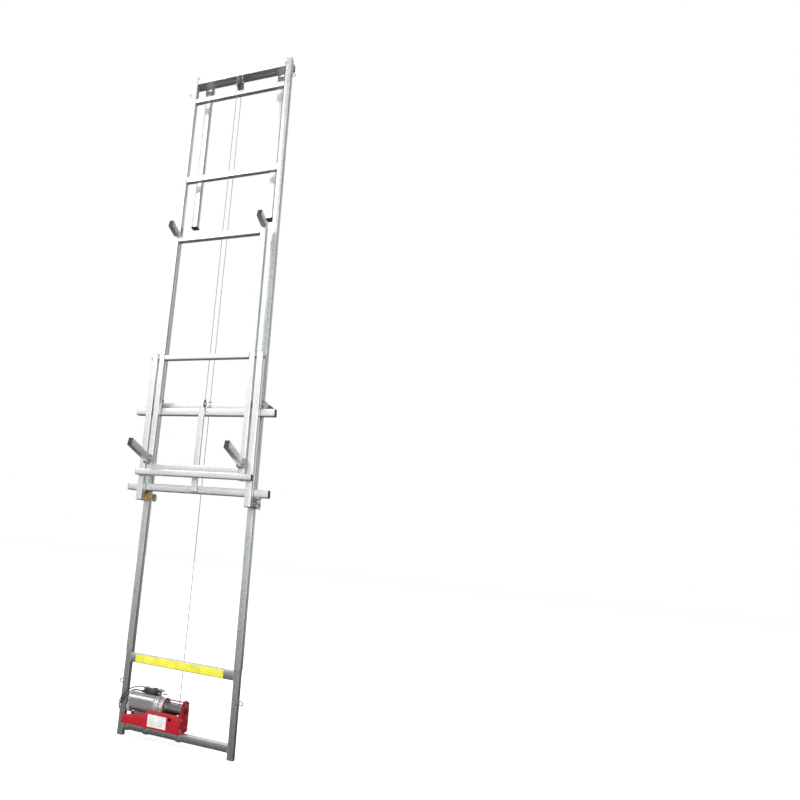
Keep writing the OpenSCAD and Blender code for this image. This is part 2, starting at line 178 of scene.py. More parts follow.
# hexagon head with a chamfer, a washer under it and a domed thread end
def addBolt(bm, place, direction, across=0.013, height=0.006, washer=True, thread=0.0):
    way = Vector(direction).normalized()
    place = Vector(place)
    if washer:
        addRod(bm, place, place + way * 0.0016, across * 0.78, 28, 0.0004)
        place = place + way * 0.0016
    part = bmesh.new()
    bmesh.ops.create_cone(part, cap_ends=True, segments=6, radius1=across / math.sqrt(3),
                          radius2=across / math.sqrt(3), depth=height)
    top = [f for f in part.faces if f.normal.z > 0.9]
    softenEdges(part, [e for f in top for e in f.edges], height * 0.16)
    bmesh.ops.transform(part, verts=part.verts,
                        matrix=Matrix.Translation(place + way * height / 2) @ alignTo(way))
    joinInto(bm, part)
    if thread:
        addRod(bm, place + way * height, place + way * (height + thread), across * 0.29, 20, 0.0008)


# square tube with rounded corners and an open bore
def addTube(bm, low, high, along, corner=0.0042, wall=0.0025, turn=None):
    low, high = Vector(low), Vector(high)
    part = bmesh.new()
    bmesh.ops.create_cube(part, size=1, matrix=Matrix.Translation((low + high) / 2)
                          @ Matrix.Diagonal((*(high - low), 1)))
    axis = Vector([1.0 if k == along else 0.0 for k in range(3)])
    longEdges = [e for e in part.edges
                 if abs((e.verts[0].co - e.verts[1].co).normalized().dot(axis)) > 0.9]
    softenEdges(part, longEdges, corner, 4)
    part.normal_update()
    ends = [f for f in part.faces if abs(f.normal.dot(axis)) > 0.9]
    bmesh.ops.inset_individual(part, faces=ends, thickness=wall, use_even_offset=True)
    rims = [e for f in ends for e in f.edges]
    bmesh.ops.delete(part, geom=ends, context="FACES_ONLY")
    bmesh.ops.bridge_loops(part, edges=rims)
    bmesh.ops.recalc_face_normals(part, faces=part.faces)
    mouths = [e for e in part.edges if len(e.link_faces) == 2 and e.calc_face_angle() > 1.2]
    softenEdges(part, mouths, 0.0004, 1)
    if turn:
        bmesh.ops.transform(part, matrix=turn, verts=part.verts)
    joinInto(bm, part)


# a row of small overlapping beads round a rectangle, as a weld leaves
def addWeld(bm, centre, across, halfA, halfB, bead=0.0023, step=0.0036):
    centre = Vector(centre)
    part = bmesh.new()
    u, v = [Vector([1.0 if k == (across + s) % 3 else 0.0 for k in range(3)]) for s in (1, 2)]
    corners = [(-halfA, -halfB), (halfA, -halfB), (halfA, halfB), (-halfA, halfB)]
    count = 0
    for n in range(4):
        (a, b), (c, d) = corners[n], corners[(n + 1) % 4]
        length = math.hypot(c - a, d - b)
        pieces = int(length / step)
        for k in range(pieces):
            t = (k + 0.5) / pieces
            swell = 1 + 0.13 * math.sin(7.1 * count + 3 * n)
            place = centre + u * (a + (c - a) * t) + v * (b + (d - b) * t)
            bmesh.ops.create_uvsphere(part, u_segments=6, v_segments=4, radius=bead * swell,
                                      matrix=Matrix.Translation(place) @ alignTo((u, v)[n % 2]))
            count += 1
    joinInto(bm, part)


def makePiece(name, bm, body, finish, replaced=(), bevel=0.0, smooth=35, merge=True):
    if merge:
        bmesh.ops.remove_doubles(bm, verts=bm.verts, dist=1e-7)
        bmesh.ops.recalc_face_normals(bm, faces=bm.faces)
    mesh = bpy.data.meshes.new(name)
    bm.to_mesh(mesh)
    bm.free()
    mesh.materials.append(finish)
    mesh.polygons.foreach_set("use_smooth", [True] * len(mesh.polygons))
    mesh.set_sharp_from_angle(angle=math.radians(smooth))
    piece = bpy.data.objects.new(name, mesh)
    scene.collection.objects.link(piece)
    if bevel:
        rounding = piece.modifiers.new("rounding", "BEVEL")
        rounding.width, rounding.segments, rounding.limit_method = bevel, 2, "ANGLE"
        rounding.harden_normals = True
    if body:
        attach(piece, body)
    if replaced:
        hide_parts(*replaced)
    return piece


# ---- finishes ----


class Finish:
    def __init__(self, name, colour, metallic, roughness):
        self.material = bpy.data.materials.new(name)
        self.material.use_nodes = True
        self.tree = self.material.node_tree
        self.surface = self.tree.nodes["Principled BSDF"]
        self.surface.inputs["Base Color"].default_value = (*colour, 1)
        self.surface.inputs["Metallic"].default_value = metallic
        self.surface.inputs["Roughness"].default_value = roughness
        self.place = self.tree.nodes.new("ShaderNodeTexCoord").outputs["Object"]

    def node(self, kind, **settings):
        made = self.tree.nodes.new(kind)
        for key, value in settings.items():
            setattr(made, key, value)
        return made

    def link(self, a, b):
        self.tree.links.new(a, b)

    def stretched(self, scale):
        made = self.node("ShaderNodeMapping")
        made.inputs["Scale"].default_value = scale
        self.link(self.place, made.inputs["Vector"])
        return made.outputs["Vector"]

    def noise(self, scale, detail=3.0, roughness=0.55, where=None):
        made = self.node("ShaderNodeTexNoise")
        made.inputs["Scale"].default_value = scale
        made.inputs["Detail"].default_value = detail
        made.inputs["Roughness"].default_value = roughness
        self.link(where or self.place, made.inputs["Vector"])
        return made.outputs["Fac"]

    def cells(self, scale, where=None):
        made = self.node("ShaderNodeTexVoronoi")
        made.inputs["Scale"].default_value = scale
        self.link(where or self.place, made.inputs["Vector"])
        return made

    def ramp(self, value, stops):
        made = self.node("ShaderNodeValToRGB")
        marks = made.color_ramp.elements
        while len(marks) < len(stops):
            marks.new(0.5)
        for mark, (at, colour) in zip(marks, stops):
            mark.position = at
            mark.color = (*colour, 1) if len(colour) == 3 else colour
        self.link(value, made.inputs["Fac"])
        return made.outputs["Color"]

    def blendColours(self, amount, a, b, way="MIX"):
        made = self.node("ShaderNodeMix", data_type="RGBA", blend_type=way)
        for source, socket in ((amount, made.inputs["Factor"]), (a, made.inputs["A"]), (b, made.inputs["B"])):
            if isinstance(source, bpy.types.NodeSocket):
                self.link(source, socket)
            elif isinstance(source, (int, float)):
                socket.default_value = source
            else:
                socket.default_value = (*source, 1)
        return made.outputs["Result"]

    def scaled(self, value, low, high, fromLow=0.0, fromHigh=1.0):
        made = self.node("ShaderNodeMapRange")
        for key, number in (("From Min", fromLow), ("From Max", fromHigh), ("To Min", low), ("To Max", high)):
            made.inputs[key].default_value = number
        self.link(value, made.inputs["Value"])
        return made.outputs["Result"]

    def colour(self, source):
        self.link(source, self.surface.inputs["Base Color"])

    def roughness(self, source):
        self.link(source, self.surface.inputs["Roughness"])

    def bump(self, height, strength, distance):
        made = self.node("ShaderNodeBump")
        made.inputs["Strength"].default_value = strength
        made.inputs["Distance"].default_value = distance
        self.link(height, made.inputs["Height"])
        self.link(made.outputs["Normal"], self.surface.inputs["Normal"])


def galvanised(name, stretch, light=(0.80, 0.83, 0.80), dark=(0.60, 0.635, 0.625), metallic=0.93):
    f = Finish(name, light, metallic, 0.3)
    spangle = f.cells(150).outputs["Color"]
    grey = f.node("ShaderNodeRGBToBW")
    f.link(spangle, grey.inputs["Color"])
    flakes = f.ramp(grey.outputs["Val"], [(0.2, dark), (0.75, light)])
    bloom = f.noise(7, 5, 0.6)
    cloudy = f.blendColours(f.scaled(bloom, 0, 0.55, 0.5, 0.72), flakes,
                            tuple(min(c * 1.08, 0.92) for c in light))
    drawn = f.noise(90, 4, 0.6, f.stretched(stretch))
    streaked = f.blendColours(f.scaled(drawn, 0.0, 0.5, 0.52, 0.75), cloudy, tuple(c * 0.72 for c in dark))
    f.colour(streaked)
    f.roughness(f.scaled(drawn, 0.22, 0.46))
    f.bump(drawn, 0.12, 0.0006)
    return f.material


def plated(name, colour, rough=0.34, metallic=0.95):
    f = Finish(name, colour, metallic, rough)
    blotch = f.noise(160, 4)
    f.colour(f.ramp(blotch, [(0.3, tuple(c * 0.72 for c in colour)), (0.65, colour)]))
    f.roughness(f.scaled(f.noise(420, 3), rough - 0.1, rough + 0.16))
    f.bump(f.noise(900, 2), 0.12, 0.0003)
    return f.material


def painted(name, colour, worn, rough=0.28, specks=0.7):
    f = Finish(name, colour, 0.0, rough)
    f.surface.inputs["Coat Weight"].default_value = 0.35
    f.surface.inputs["Coat Roughness"].default_value = 0.12
    tone = f.ramp(f.noise(28, 4), [(0.35, tuple(c * 0.78 for c in colour)), (0.7, colour)])
    chips = f.scaled(f.noise(330, 5, 0.7), 0, 1, specks, specks + 0.03)
    f.colour(f.blendColours(chips, tone, worn))
    f.roughness(f.scaled(f.noise(120, 3), rough - 0.06, rough + 0.14))
    f.bump(f.noise(520, 2), 0.1, 0.0004)
    return f.material


def castMetal(name, colour, rough=0.45, metallic=0.75):
    f = Finish(name, colour, metallic, rough)
    f.colour(f.ramp(f.noise(60, 5), [(0.3, tuple(c * 0.7 for c in colour)), (0.7, colour)]))
    f.roughness(f.scaled(f.noise(300, 3), rough - 0.1, rough + 0.15))
    f.bump(f.noise(700, 4, 0.7), 0.25, 0.0005)
    return f.material


def moulded(name, colour, rough=0.5, grain=900, dust=0.06):
    f = Finish(name, colour, 0.0, rough)
    lighter = tuple(c + dust for c in colour)
    f.colour(f.ramp(f.noise(35, 5, 0.65), [(0.4, colour), (0.8, lighter)]))
    f.roughness(f.scaled(f.noise(200, 3), rough - 0.08, rough + 0.12))
    f.bump(f.noise(grain, 2), 0.15, 0.0003)
    return f.material


# wire rope, with its strands as slanting ridges along the given axis
def stranded(name, along, colour=(0.36, 0.37, 0.38), lay=200):
    f = Finish(name, colour, 0.9, 0.4)
    bands = f.node("ShaderNodeTexWave", wave_type="BANDS", bands_direction="DIAGONAL")
    bands.inputs["Scale"].default_value = lay
    bands.inputs["Distortion"].default_value = 0.6
    f.link(f.stretched(along), bands.inputs["Vector"])
    f.colour(f.ramp(bands.outputs["Fac"], [(0.1, tuple(c * 0.7 for c in colour)), (0.6, colour)]))
    f.bump(bands.outputs["Fac"], 0.5, 0.0006)
    return f.material


finishes = {
    "tubeZ": galvanised("galvanisedUpright", (1, 1, 0.05), (0.90, 0.91, 0.90), (0.76, 0.78, 0.77)),
    "tubeX": galvanised("galvanisedCross", (0.05, 1, 1), (0.90, 0.91, 0.90), (0.76, 0.78, 0.77)),
    "tubeY": galvanised("galvanisedForward", (1, 0.05, 1), (0.80, 0.82, 0.80), (0.62, 0.65, 0.64)),
    "railZ": galvanised("galvanisedRail", (1, 1, 0.05), (0.70, 0.74, 0.73), (0.50, 0.54, 0.53)),
    "baseZ": galvanised("galvanisedBase", (1, 1, 0.05), (0.62, 0.64, 0.64), (0.45, 0.47, 0.47)),
    "baseX": galvanised("galvanisedBaseCross", (0.05, 1, 1), (0.60, 0.62, 0.62), (0.43, 0.45, 0.45)),
    "zinc": plated("zincHardware", (0.66, 0.67, 0.66)),
    "weld": castMetal("weldMetal", (0.58, 0.6, 0.6), 0.35),
    "darkSteel": plated("oxidisedSteel", (0.13, 0.13, 0.135), 0.42),
    "red": painted("redEnamel", (0.45, 0.002, 0.012), (0.30, 0.03, 0.03)),
    "deepRed": painted("deepRedEnamel", (0.30, 0.006, 0.014), (0.2, 0.04, 0.04)),
    "yellow": painted("yellowFilm", (0.85, 0.78, 0.05), (0.7, 0.62, 0.06), 0.36, 0.78),
    "plate": painted("whitePlate", (0.82, 0.82, 0.8), (0.6, 0.6, 0.6), 0.32, 0.78),
    "motor": castMetal("motorCasting", (0.60, 0.63, 0.64), 0.42, 0.6),
    "gear": castMetal("gearCasting", (0.74, 0.75, 0.75), 0.38, 0.7),
    "plastic": moulded("blackPlastic", (0.012, 0.012, 0.013)),
    "rubber": moulded("blackRubber", (0.01, 0.01, 0.011), 0.62, 600, 0.04),
    "amber": moulded("amberNylon", (0.42, 0.20, 0.02), 0.36, 500, 0.06),
    "olive": moulded("oliveNylon", (0.30, 0.19, 0.05), 0.42, 500, 0.06),
    "sheaveGrey": castMetal("sheaveCasting", (0.30, 0.31, 0.32), 0.38, 0.8),
    "ropeZ": stranded("wireRopeUpright", (1, 1, 0.6)),
    "ropeX": stranded("wireRopeLay", (0.6, 1, 1)),
    "cable": moulded("leadSheath", (0.014, 0.014, 0.015), 0.48, 700, 0.05),
}
print("finishes mixed:", len(finishes))

# ---- leads, with the coil and the plug ----
mainsLead = {
    "diameter": 0.007, "coilCentre": (-255, 300), "lanes": (36.5, 43.5), "layers": 3,
    "route": [
        (-235, -3, 252), (-246, -3.3, 252.4), (-258, -5, 253), (-270, -8, 252.5), (-282, -12, 250),
        (-294, -17, 243), (-305, -22, 231), (-315, -26.5, 217), (-327, -29.5, 203), (-339, -30, 190),
        (-350, -27.5, 177), (-360, -21, 165), (-367.5, -9, 153), (-371, 5, 138), (-371, 19, 122),
        (-370, 31, 106), (-371, 44, 88), (-375, 58, 67), (-381, 73, 45), (-387, 90, 25),
        (-393, 108, 10.5), (-396, 127, 4.3), (-395, 144, 3.5), (-390, 162, 3.5), (-381, 180, 3.5),
        (-368, 197, 3.5), (-353, 213, 3.5), (-336, 227, 3.5), (-317, 239, 3.5), (-297, 248, 3.5),
        (-276, 254.5, 3.5), (-255, 256.5, 3.5),
    ],
    "plugAt": (-355, 343.5, 19),
}
motorLead = {
    "diameter": 0.006,
    "route": [
        (-213.1, 0, 273), (-228, 0, 273.8), (-243, -4, 275.5), (-258, -9, 273), (-273, -15, 268),
        (-288, -21, 262), (-303, -26, 253), (-317, -29, 241), (-329, -30.5, 227), (-340, -31, 212),
        (-350, -29, 197), (-359, -22, 185), (-366, -10, 175), (-369, 5, 167), (-366, 19, 162),
        (-361, 32, 159), (-353, 45, 158), (-342, 53, 158), (-329, 56, 158),
        (-316, 52, 158), (-306, 42, 158), (-302.5, 28.2, 158),
    ],
}


def smoothRoute(points, steps=4):
    r = [Vector(p) * mm for p in points]
    found = []
    for i in range(len(r) - 1):
        a, b, c, d = r[max(i - 1, 0)], r[i], r[i + 1], r[min(i + 2, len(r) - 1)]
        for s in range(steps):
            t = s / steps
            found.append(0.5 * (2 * b + (c - a) * t + (2 * a - 5 * b + 4 * c - d) * t * t
                                + (3 * b - a - 3 * c + d) * t ** 3))
    return found + [r[-1]]


# turns laid side by side and on each other, from the floor lane outwards to the last half turn
def coilRoute(centre, lanes, layers, thick, perTurn=40):
    cx, cy = centre
    inner, outer = lanes
    plan = []  # (radius, height) at the start of each turn, the first on the outside
    for layer in range(layers):
        order = (outer, inner) if layer % 2 == 0 else (inner, outer)
        plan += [(r, thick / 2 + layer * thick) for r in order]
    plan.append((outer, thick / 2 + (layers - 1) * thick))
    turns = len(plan) - 1 + 0.5
    points = []
    for k in range(1, int(turns * perTurn) + 1):
        t = k / perTurn
        n = min(int(t), len(plan) - 1)
        share = t - n
        after = plan[min(n + 1, len(plan) - 1)]
        ease = max(0.0, (share - 0.72) / 0.28)
        ease = ease * ease * (3 - 2 * ease)
        radius = plan[n][0] + (after[0] - plan[n][0]) * ease
        height = plan[n][1] + (after[1] - plan[n][1]) * ease
        angle = math.tau * t - math.pi / 2
        points.append((cx + radius * math.cos(angle), cy + radius * math.sin(angle), height))
    return points


def makeCable(name, points, diameter, finish, body, replaced, straight=False):
    data = bpy.data.curves.new(name, "CURVE")
    data.dimensions, data.bevel_depth, data.bevel_resolution = "3D", diameter / 2, 3
    data.use_fill_caps = True
    line = data.splines.new("POLY")
    line.points.add(len(points) - 1)
    for p, co in zip(line.points, points):
        p.co = (*co, 1)
    line.use_smooth = True
    data.materials.append(finish)
    piece = bpy.data.objects.new(name, data)
    scene.collection.objects.link(piece)
    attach(piece, body)
    if replaced:
        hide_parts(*replaced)
    return piece


def makePlug(values):
    x, y, z = values["plugAt"]
    bm = bmesh.new()
    outline = [(0, 0), (17.2, 0), (18.5, 1.5), (18.5, 16), (16.6, 19), (16.6, 34), (15.2, 41), (11, 46),
               (0, 46)]
    addTurned(bm, Vector((x, y, z)) * mm, (1, 0, 0), [(r * mm, h * mm) for r, h in outline])
    for k in range(12):  # grip ribs
        turn = math.tau * k / 12
        at = Vector((x + 27, y + 16.4 * math.cos(turn), z + 16.4 * math.sin(turn))) * mm
        addRod(bm, at - Vector((0.007, 0, 0)), at + Vector((0.007, 0, 0)), 0.0011, 8, 0.0004)
    relief = [(0, 45), (8.6, 45), (8.2, 48), (7.1, 48.4), (7.1, 49.6), (7.6, 50), (7.0, 53), (5.9, 53.4),
              (5.9, 54.6),
              (6.4, 55), (5.6, 58), (3.6, 58), (3.6, 60), (0, 60)]
    addTurned(bm, Vector((x, y, z)) * mm, (1, 0, 0), [(r * mm, h * mm) for r, h in relief], 32)
    plug = makePiece("mainsPlugBody", bm, "mast", finishes["plastic"], ["mains_plug"])
    bm = bmesh.new()
    for s in (-1, 1):
        addRod(bm, ((x - 19) * mm, (y + 9.5 * s) * mm, z * mm), (x * mm, (y + 9.5 * s) * mm, z * mm),
               0.0024, 24, 0.0009)
    pins = makePiece("mainsPlugPins", bm, "mast", finishes["zinc"])
    return plug, pins


def makeGland():
    low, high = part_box("lead_gland")
    y, z = (low.y + high.y) / 2, (low.z + high.z) / 2
    rings = [(0, 0), (8, 0), (8, 3)]
    for k in range(6):
        a, r = 3 + 3.1 * k, 7.4 - 0.55 * k
        rings += [(r, a), (r - 0.2, a + 1.7), (r - 1.1, a + 2.0), (r - 1.1, a + 2.8)]
    rings += [(3.7, 22), (0, 22)]
    bm = bmesh.new()
    addTurned(bm, (high.x, y, z), (-1, 0, 0), [(r * mm, h * mm) for r, h in rings], 32)
    makePiece("leadRelief", bm, "mast", finishes["rubber"], ["lead_gland"])


plug, pins = makePlug(mainsLead)
makeGland()
floorRun = smoothRoute(mainsLead["route"])
coil = [Vector(p) * mm for p in coilRoute(mainsLead["coilCentre"], mainsLead["lanes"], mainsLead["layers"],
                                          7)]
cx, cy = mainsLead["coilCentre"]
px, py, pz = mainsLead["plugAt"]
tail = [Vector((cx - d, cy + 43.5, 17.5 + rise)) * mm
        for d, rise in ((6, 0.05), (12, 0.2), (18, 0.45), (24, 0.8), (30, 1.15), (36, 1.4), (41, 1.5),
                        (46, 1.5))]
wholeLead = floorRun + coil + tail
lead = makeCable("mainsLeadCable", wholeLead, mainsLead["diameter"], finishes["cable"],
                 "mast",
                 ["mains_lead", "mains_coil"])
jumperPoints = smoothRoute(motorLead["route"])
jumper = makeCable("motorLeadCable", jumperPoints, motorLead["diameter"], finishes["cable"],
                   "mast",
                   ["motor_lead"])

coilTie = {"at": (-295, 300), "half": (7.6, 11.2), "width": 9}


def makeCoilTie(values):
    x, y = values["at"]
    halfX, halfZ = values["half"]
    bm = bmesh.new()
    part = bmesh.new()
    bmesh.ops.create_cube(part, size=1, matrix=Matrix.Translation((x * mm, y * mm, halfZ * mm))
                          @ Matrix.Diagonal((2 * halfX * mm, values["width"] * mm, 2 * halfZ * mm, 1)))
    part.normal_update()
    softenEdges(part, [e for e in part.edges if all(abs(f.normal.y) < 0.5 for f in e.link_faces)], 0.004, 4)
    part.normal_update()
    ends = [f for f in part.faces if abs(f.normal.y) > 0.9]
    bmesh.ops.inset_individual(part, faces=ends, thickness=0.0009, use_even_offset=True)
    rims = [e for f in ends for e in f.edges]
    bmesh.ops.delete(part, geom=ends, context="FACES_ONLY")
    bmesh.ops.bridge_loops(part, edges=rims)
    bmesh.ops.transform(part, matrix=Matrix.Translation((0, 0, 0.0002)), verts=part.verts)
    joinInto(bm, part)
    addBlock(bm, ((x - 3) * mm, (y - 5.5) * mm, 0.0218), ((x + 3) * mm, (y + 5.5) * mm, 0.0246), 0.0006)
    makePiece("coilTie", bm, "mast", finishes["plastic"])


makeCoilTie(coilTie)

# ---- square tubes, each standing for its CAD node ----
plainTubes = {
    "mast": {
        "base_leg_left": (2, "baseZ"), "base_leg_right": (2, "baseZ"), "bottom_bar": (0, "baseX"),
        "label_bar": (0, "baseX"), "rail_left": (2, "railZ"), "rail_right": (2, "railZ"),
        "upper_bar": (0, "tubeX"), "second_bar": (0, "tubeX"), "top_beam": (0, "tubeX"),
        "rear_beam": (0, "tubeX"),
    },
    "carriage": {
        "upright_left": (2, "tubeZ"), "upright_right": (2, "tubeZ"), "carriage_top_bar": (0, "tubeX"),
        "carriage_bottom_bar": (0, "tubeX"), "carriage_centre_bar": (2, "tubeZ"),
    },
    "tray": {
        "tray_post_left": (2, "tubeZ"), "tray_post_right": (2, "tubeZ"), "tray_top_bar": (0, "tubeX"),
        "tray_mid_bar": (0, "tubeX"), "tray_bottom_bar": (0, "tubeX"), "tray_ledge": (0, "tubeX"),
    },
}


def camel(node):
    words = node.split("_")
    return words[0] + "".join(w.capitalize() for w in words[1:])


for body, tubes in plainTubes.items():
    for node, (along, finish) in tubes.items():
        low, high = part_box(node)
        bm = bmesh.new()
        wall = 0.0024 if node.startswith("rail") else 0.0025
        addTube(bm, low, high, along, 0.0036 if "base" in node else 0.0042, wall)
        makePiece(camel(node) + "Tube", bm, body, finishes[finish], [node])
print("straight tubes made")

# tubes that lean forward on the tray
armForm = {
    "width": 0.030, "height": 0.046, "slope": 15, "hingeReach": 0.026, "foldingStart": -0.008,
    "foldingEnd": 0.239,
    "fixedStart": -0.030, "fixedEnd": 0.090,
}


def forwardTurn(x, y, z, slope):
    return (Matrix.Translation((x, y, z)) @ Matrix.Rotation(math.radians(-slope), 4, "X")
            @ Matrix.Rotation(math.radians(90), 4, "X"))


def makeArms(form):
    w, h = form["width"] / 2, form["height"] / 2
    low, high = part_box("arm_lugs")
    front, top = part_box("tray_post_left")[0].y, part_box("tray_post_left")[1].z
    pinZ, pinY = (low.z + high.z) / 2 + 0.002, front - form["hingeReach"]
    postX = sum(c.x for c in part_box("tray_post_right")) / 2
    for side, name in ((-1, "left"), (1, "right")):
        turn = forwardTurn(side * postX, pinY, pinZ, form["slope"])
        bm = bmesh.new()
        addTube(bm, (-w, -h, form["foldingStart"]), (w, h, form["foldingEnd"]), 2, 0.0036, 0.0025, turn)
        makePiece(f"foldingArm{name.capitalize()}Tube", bm, f"arm_{name}", finishes["tubeY"],
                  [f"folding_arm_{name}"])
        bm = bmesh.new()
        addPlug(bm, (-w, -h, form["foldingEnd"]), (w, h, form["foldingEnd"]), 2, 1, turn)
        makePiece(f"foldingArm{name.capitalize()}Plug", bm, f"arm_{name}", finishes["plastic"])
    # the fixed arms stand on the top corners of the tray and are cut flat where they rest on it
    bm, caps = bmesh.new(), bmesh.new()
    for side in (-1, 1):
        turn = forwardTurn(side * postX, front, top + h / math.cos(math.radians(form["slope"])),
                           form["slope"])
        addTube(bm, (-w, -h, form["fixedStart"]), (w, h, form["fixedEnd"]), 2, 0.0036, 0.0025, turn)
        addPlug(caps, (-w, -h, form["fixedEnd"]), (w, h, form["fixedEnd"]), 2, 1, turn)
    cut = bmesh.ops.bisect_plane(bm, geom=bm.verts[:] + bm.edges[:] + bm.faces[:], plane_co=(0, 0, top),
                                 plane_no=(0, 0, 1), clear_inner=True)
    rims = [e for e in cut["geom_cut"] if isinstance(e, bmesh.types.BMEdge)]
    bmesh.ops.triangle_fill(bm, edges=rims, use_beauty=True)
    makePiece("upperArmTubes", bm, "tray", finishes["tubeY"], ["upper_arms"])
    makePiece("upperArmPlugs", caps, "tray", finishes["plastic"])


# a moulded cap in a tube's mouth: low and high are the corners of the mouth, way is +1 or -1 along the axis
def addPlug(bm, low, high, along, way, turn=None, proud=0.0018, wall=0.0026):
    low, high = Vector(low), Vector(high)
    face = low[along]
    others = [k for k in range(3) if k != along]
    flangeLow, flangeHigh, stemLow, stemHigh = low.copy(), high.copy(), low.copy(), high.copy()
    for k in others:
        stemLow[k] += wall
        stemHigh[k] -= wall
        flangeLow[k] += 0.0004
        flangeHigh[k] -= 0.0004
    flangeLow[along], flangeHigh[along] = sorted((face, face + way * proud))
    stemLow[along], stemHigh[along] = sorted((face + way * proud * 0.5, face - way * 0.014))
    addBlock(bm, flangeLow, flangeHigh, 0.0008, turn)
    addBlock(bm, stemLow, stemHigh, 0.0008, turn)


makeArms(armForm)

# moulded plugs in the ends of the straight tubes
plugPlaces = {
    "carriage": [
        ("carriage_top_bar", 0, 1), ("carriage_top_bar", 0, -1), ("carriage_bottom_bar", 0, 1),
        ("carriage_bottom_bar", 0, -1), ("upright_left", 2, 1), ("upright_left", 2, -1),
        ("upright_right", 2, 1),
        ("upright_right", 2, -1), ("carriage_centre_bar", 2, -1),
    ],
    "tray": [("tray_ledge", 0, 1), ("tray_ledge", 0, -1)],
}
for body, places in plugPlaces.items():
    bm = bmesh.new()
    for node, along, way in places:
        low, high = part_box(node)
        mouth = high[along] if way > 0 else low[along]
        low[along] = high[along] = mouth
        addPlug(bm, low, high, along, way)
    makePiece(body + "TubePlugs", bm, body, finishes["plastic"])


def makeMastPlugs():
    legLow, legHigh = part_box("base_leg_left")
    railLow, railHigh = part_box("rail_left")
    bm = bmesh.new()
    for side in (-1, 1):
        low, high = Vector(legLow), Vector(legHigh)
        top = Vector(railHigh)
        base = Vector(railLow)
        if side > 0:
            low.x, high.x = -legHigh.x, -legLow.x
            base.x, top.x = -railHigh.x, -railLow.x
        low.z = high.z = 0.0018
        addPlug(bm, low, high, 2, -1)
        base.z = top.z
        addPlug(bm, base, top, 2, 1)
    makePiece("mastTubePlugs", bm, "mast", finishes["plastic"], ["mast_plugs"])


makeMastPlugs()
print("arms and tube plugs made")

# ---- middle crossbar with bolted end plates, and the lower joint of the rails ----


def makeMidBar():
    low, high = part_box("mid_bar")
    x, z, depth = high.x, (low.z + high.z) / 2, high.y
    bm = bmesh.new()
    addTube(bm, (-x + 0.004, -depth, z - 0.020), (x - 0.004, depth, z + 0.020), 0)
    for s in (-1, 1):
        inner, outer = sorted((s * (x - 0.004), s * x))
        addBlock(bm, (inner, -depth, low.z), (outer, depth, high.z), 0.0008)
    makePiece("midCrossbar", bm, "mast", finishes["tubeX"], ["mid_bar"])
    bm = bmesh.new()
    for s in (-1, 1):
        for dz in (-0.035, 0.035):
            addBolt(bm, (s * (x - 0.004), 0, z + dz), (-s, 0, 0), 0.013, 0.007)
    makePiece("midCrossbarBolts", bm, "mast", finishes["zinc"])


makeMidBar()

# ---- weld beads: (centre, axis across the weld, half sizes), mirrored to the other side ----
welds = {
    "mast": [
        ((322.5, 0, 55), 0, 18, 20), ((322.5, 0, 425), 0, 18, 25), ((320, 0, 3513), 0, 16, 22),
        ((320, 0, 4122), 0, 16, 18), ((320, 0, 4270), 0, 20, 20), ((316, 0, 1933), 0, 16, 20),
    ],
    "carriage": [
        ((348, -70, 1416), 1, 22, 20), ((348, -70, 1886), 1, 22, 20), ((0, -70, 1886), 1, 22, 18),
        ((0, -70, 1422), 1, 16, 18),
    ],
    "tray": [
        ((281, -93, 3026), 0, 18, 20), ((281, -93, 2222), 0, 18, 15), ((281, -101, 1537), 0, 10, 20),
        ((299, -111, 1498), 1, 18, 18), ((299, -91, 3046), 2, 15.5, 17),
    ],
}
for body, beads in welds.items():
    bm = bmesh.new()
    for centre, across, halfA, halfB in beads:
        for side in ((-1, 1) if centre[0] else (1,)):
            place = Vector((centre[0] * side, centre[1], centre[2])) * mm
            addWeld(bm, place, across, halfA * mm, halfB * mm)
    makePiece(body + "Welds", bm, body, finishes["weld"], merge=False, smooth=60)
print("welds laid")

# ---- hoist ----
hoist = {
    "axisZ": 190, "endPlateX": 44, "innerPlateX": -70, "sheet": 4, "sideY": -55,
    "motorX": (-290, -126), "motorHalf": 46, "fanZ": 158, "capZ": 262, "capX": (-213, -128),
    "ropeTurns": 24, "ropeRadius": 24.1, "plateBox": ((-151, 86), (-36, 150)),
}


def makeChassis(h):
    outline = [(-318, 75), (44, 75), (44, 172), (-150, 172), (-183, 143), (-318, 120)]
    bm = bmesh.new()
    for y in (h["sideY"], -h["sideY"] - h["sheet"]):
        part = bmesh.new()
        face = part.faces.new([part.verts.new((x * mm, y * mm, z * mm)) for x, z in outline])
        grown = bmesh.ops.extrude_face_region(part, geom=[face])
        bmesh.ops.translate(part, vec=(0, h["sheet"] * mm, 0),
                            verts=[v for v in grown["geom"] if isinstance(v, bmesh.types.BMVert)])
        bmesh.ops.recalc_face_normals(part, faces=part.faces)
        softenEdges(part, sharpEdges(part, 1.2), 0.0012, 3)
        joinInto(bm, part)
    addBlock(bm, (-0.3178, -0.0515, 0.0752), (0.0438, 0.0515, 0.079), 0.0008)
    piece = makePiece("hoistChassisBody", bm, "mast", finishes["red"], ["hoist_chassis"],
                      smooth=40)
    cutRods(piece, [((-0.017, -0.07, 0.142), (-0.017, 0.07, 0.142), 0.009)])


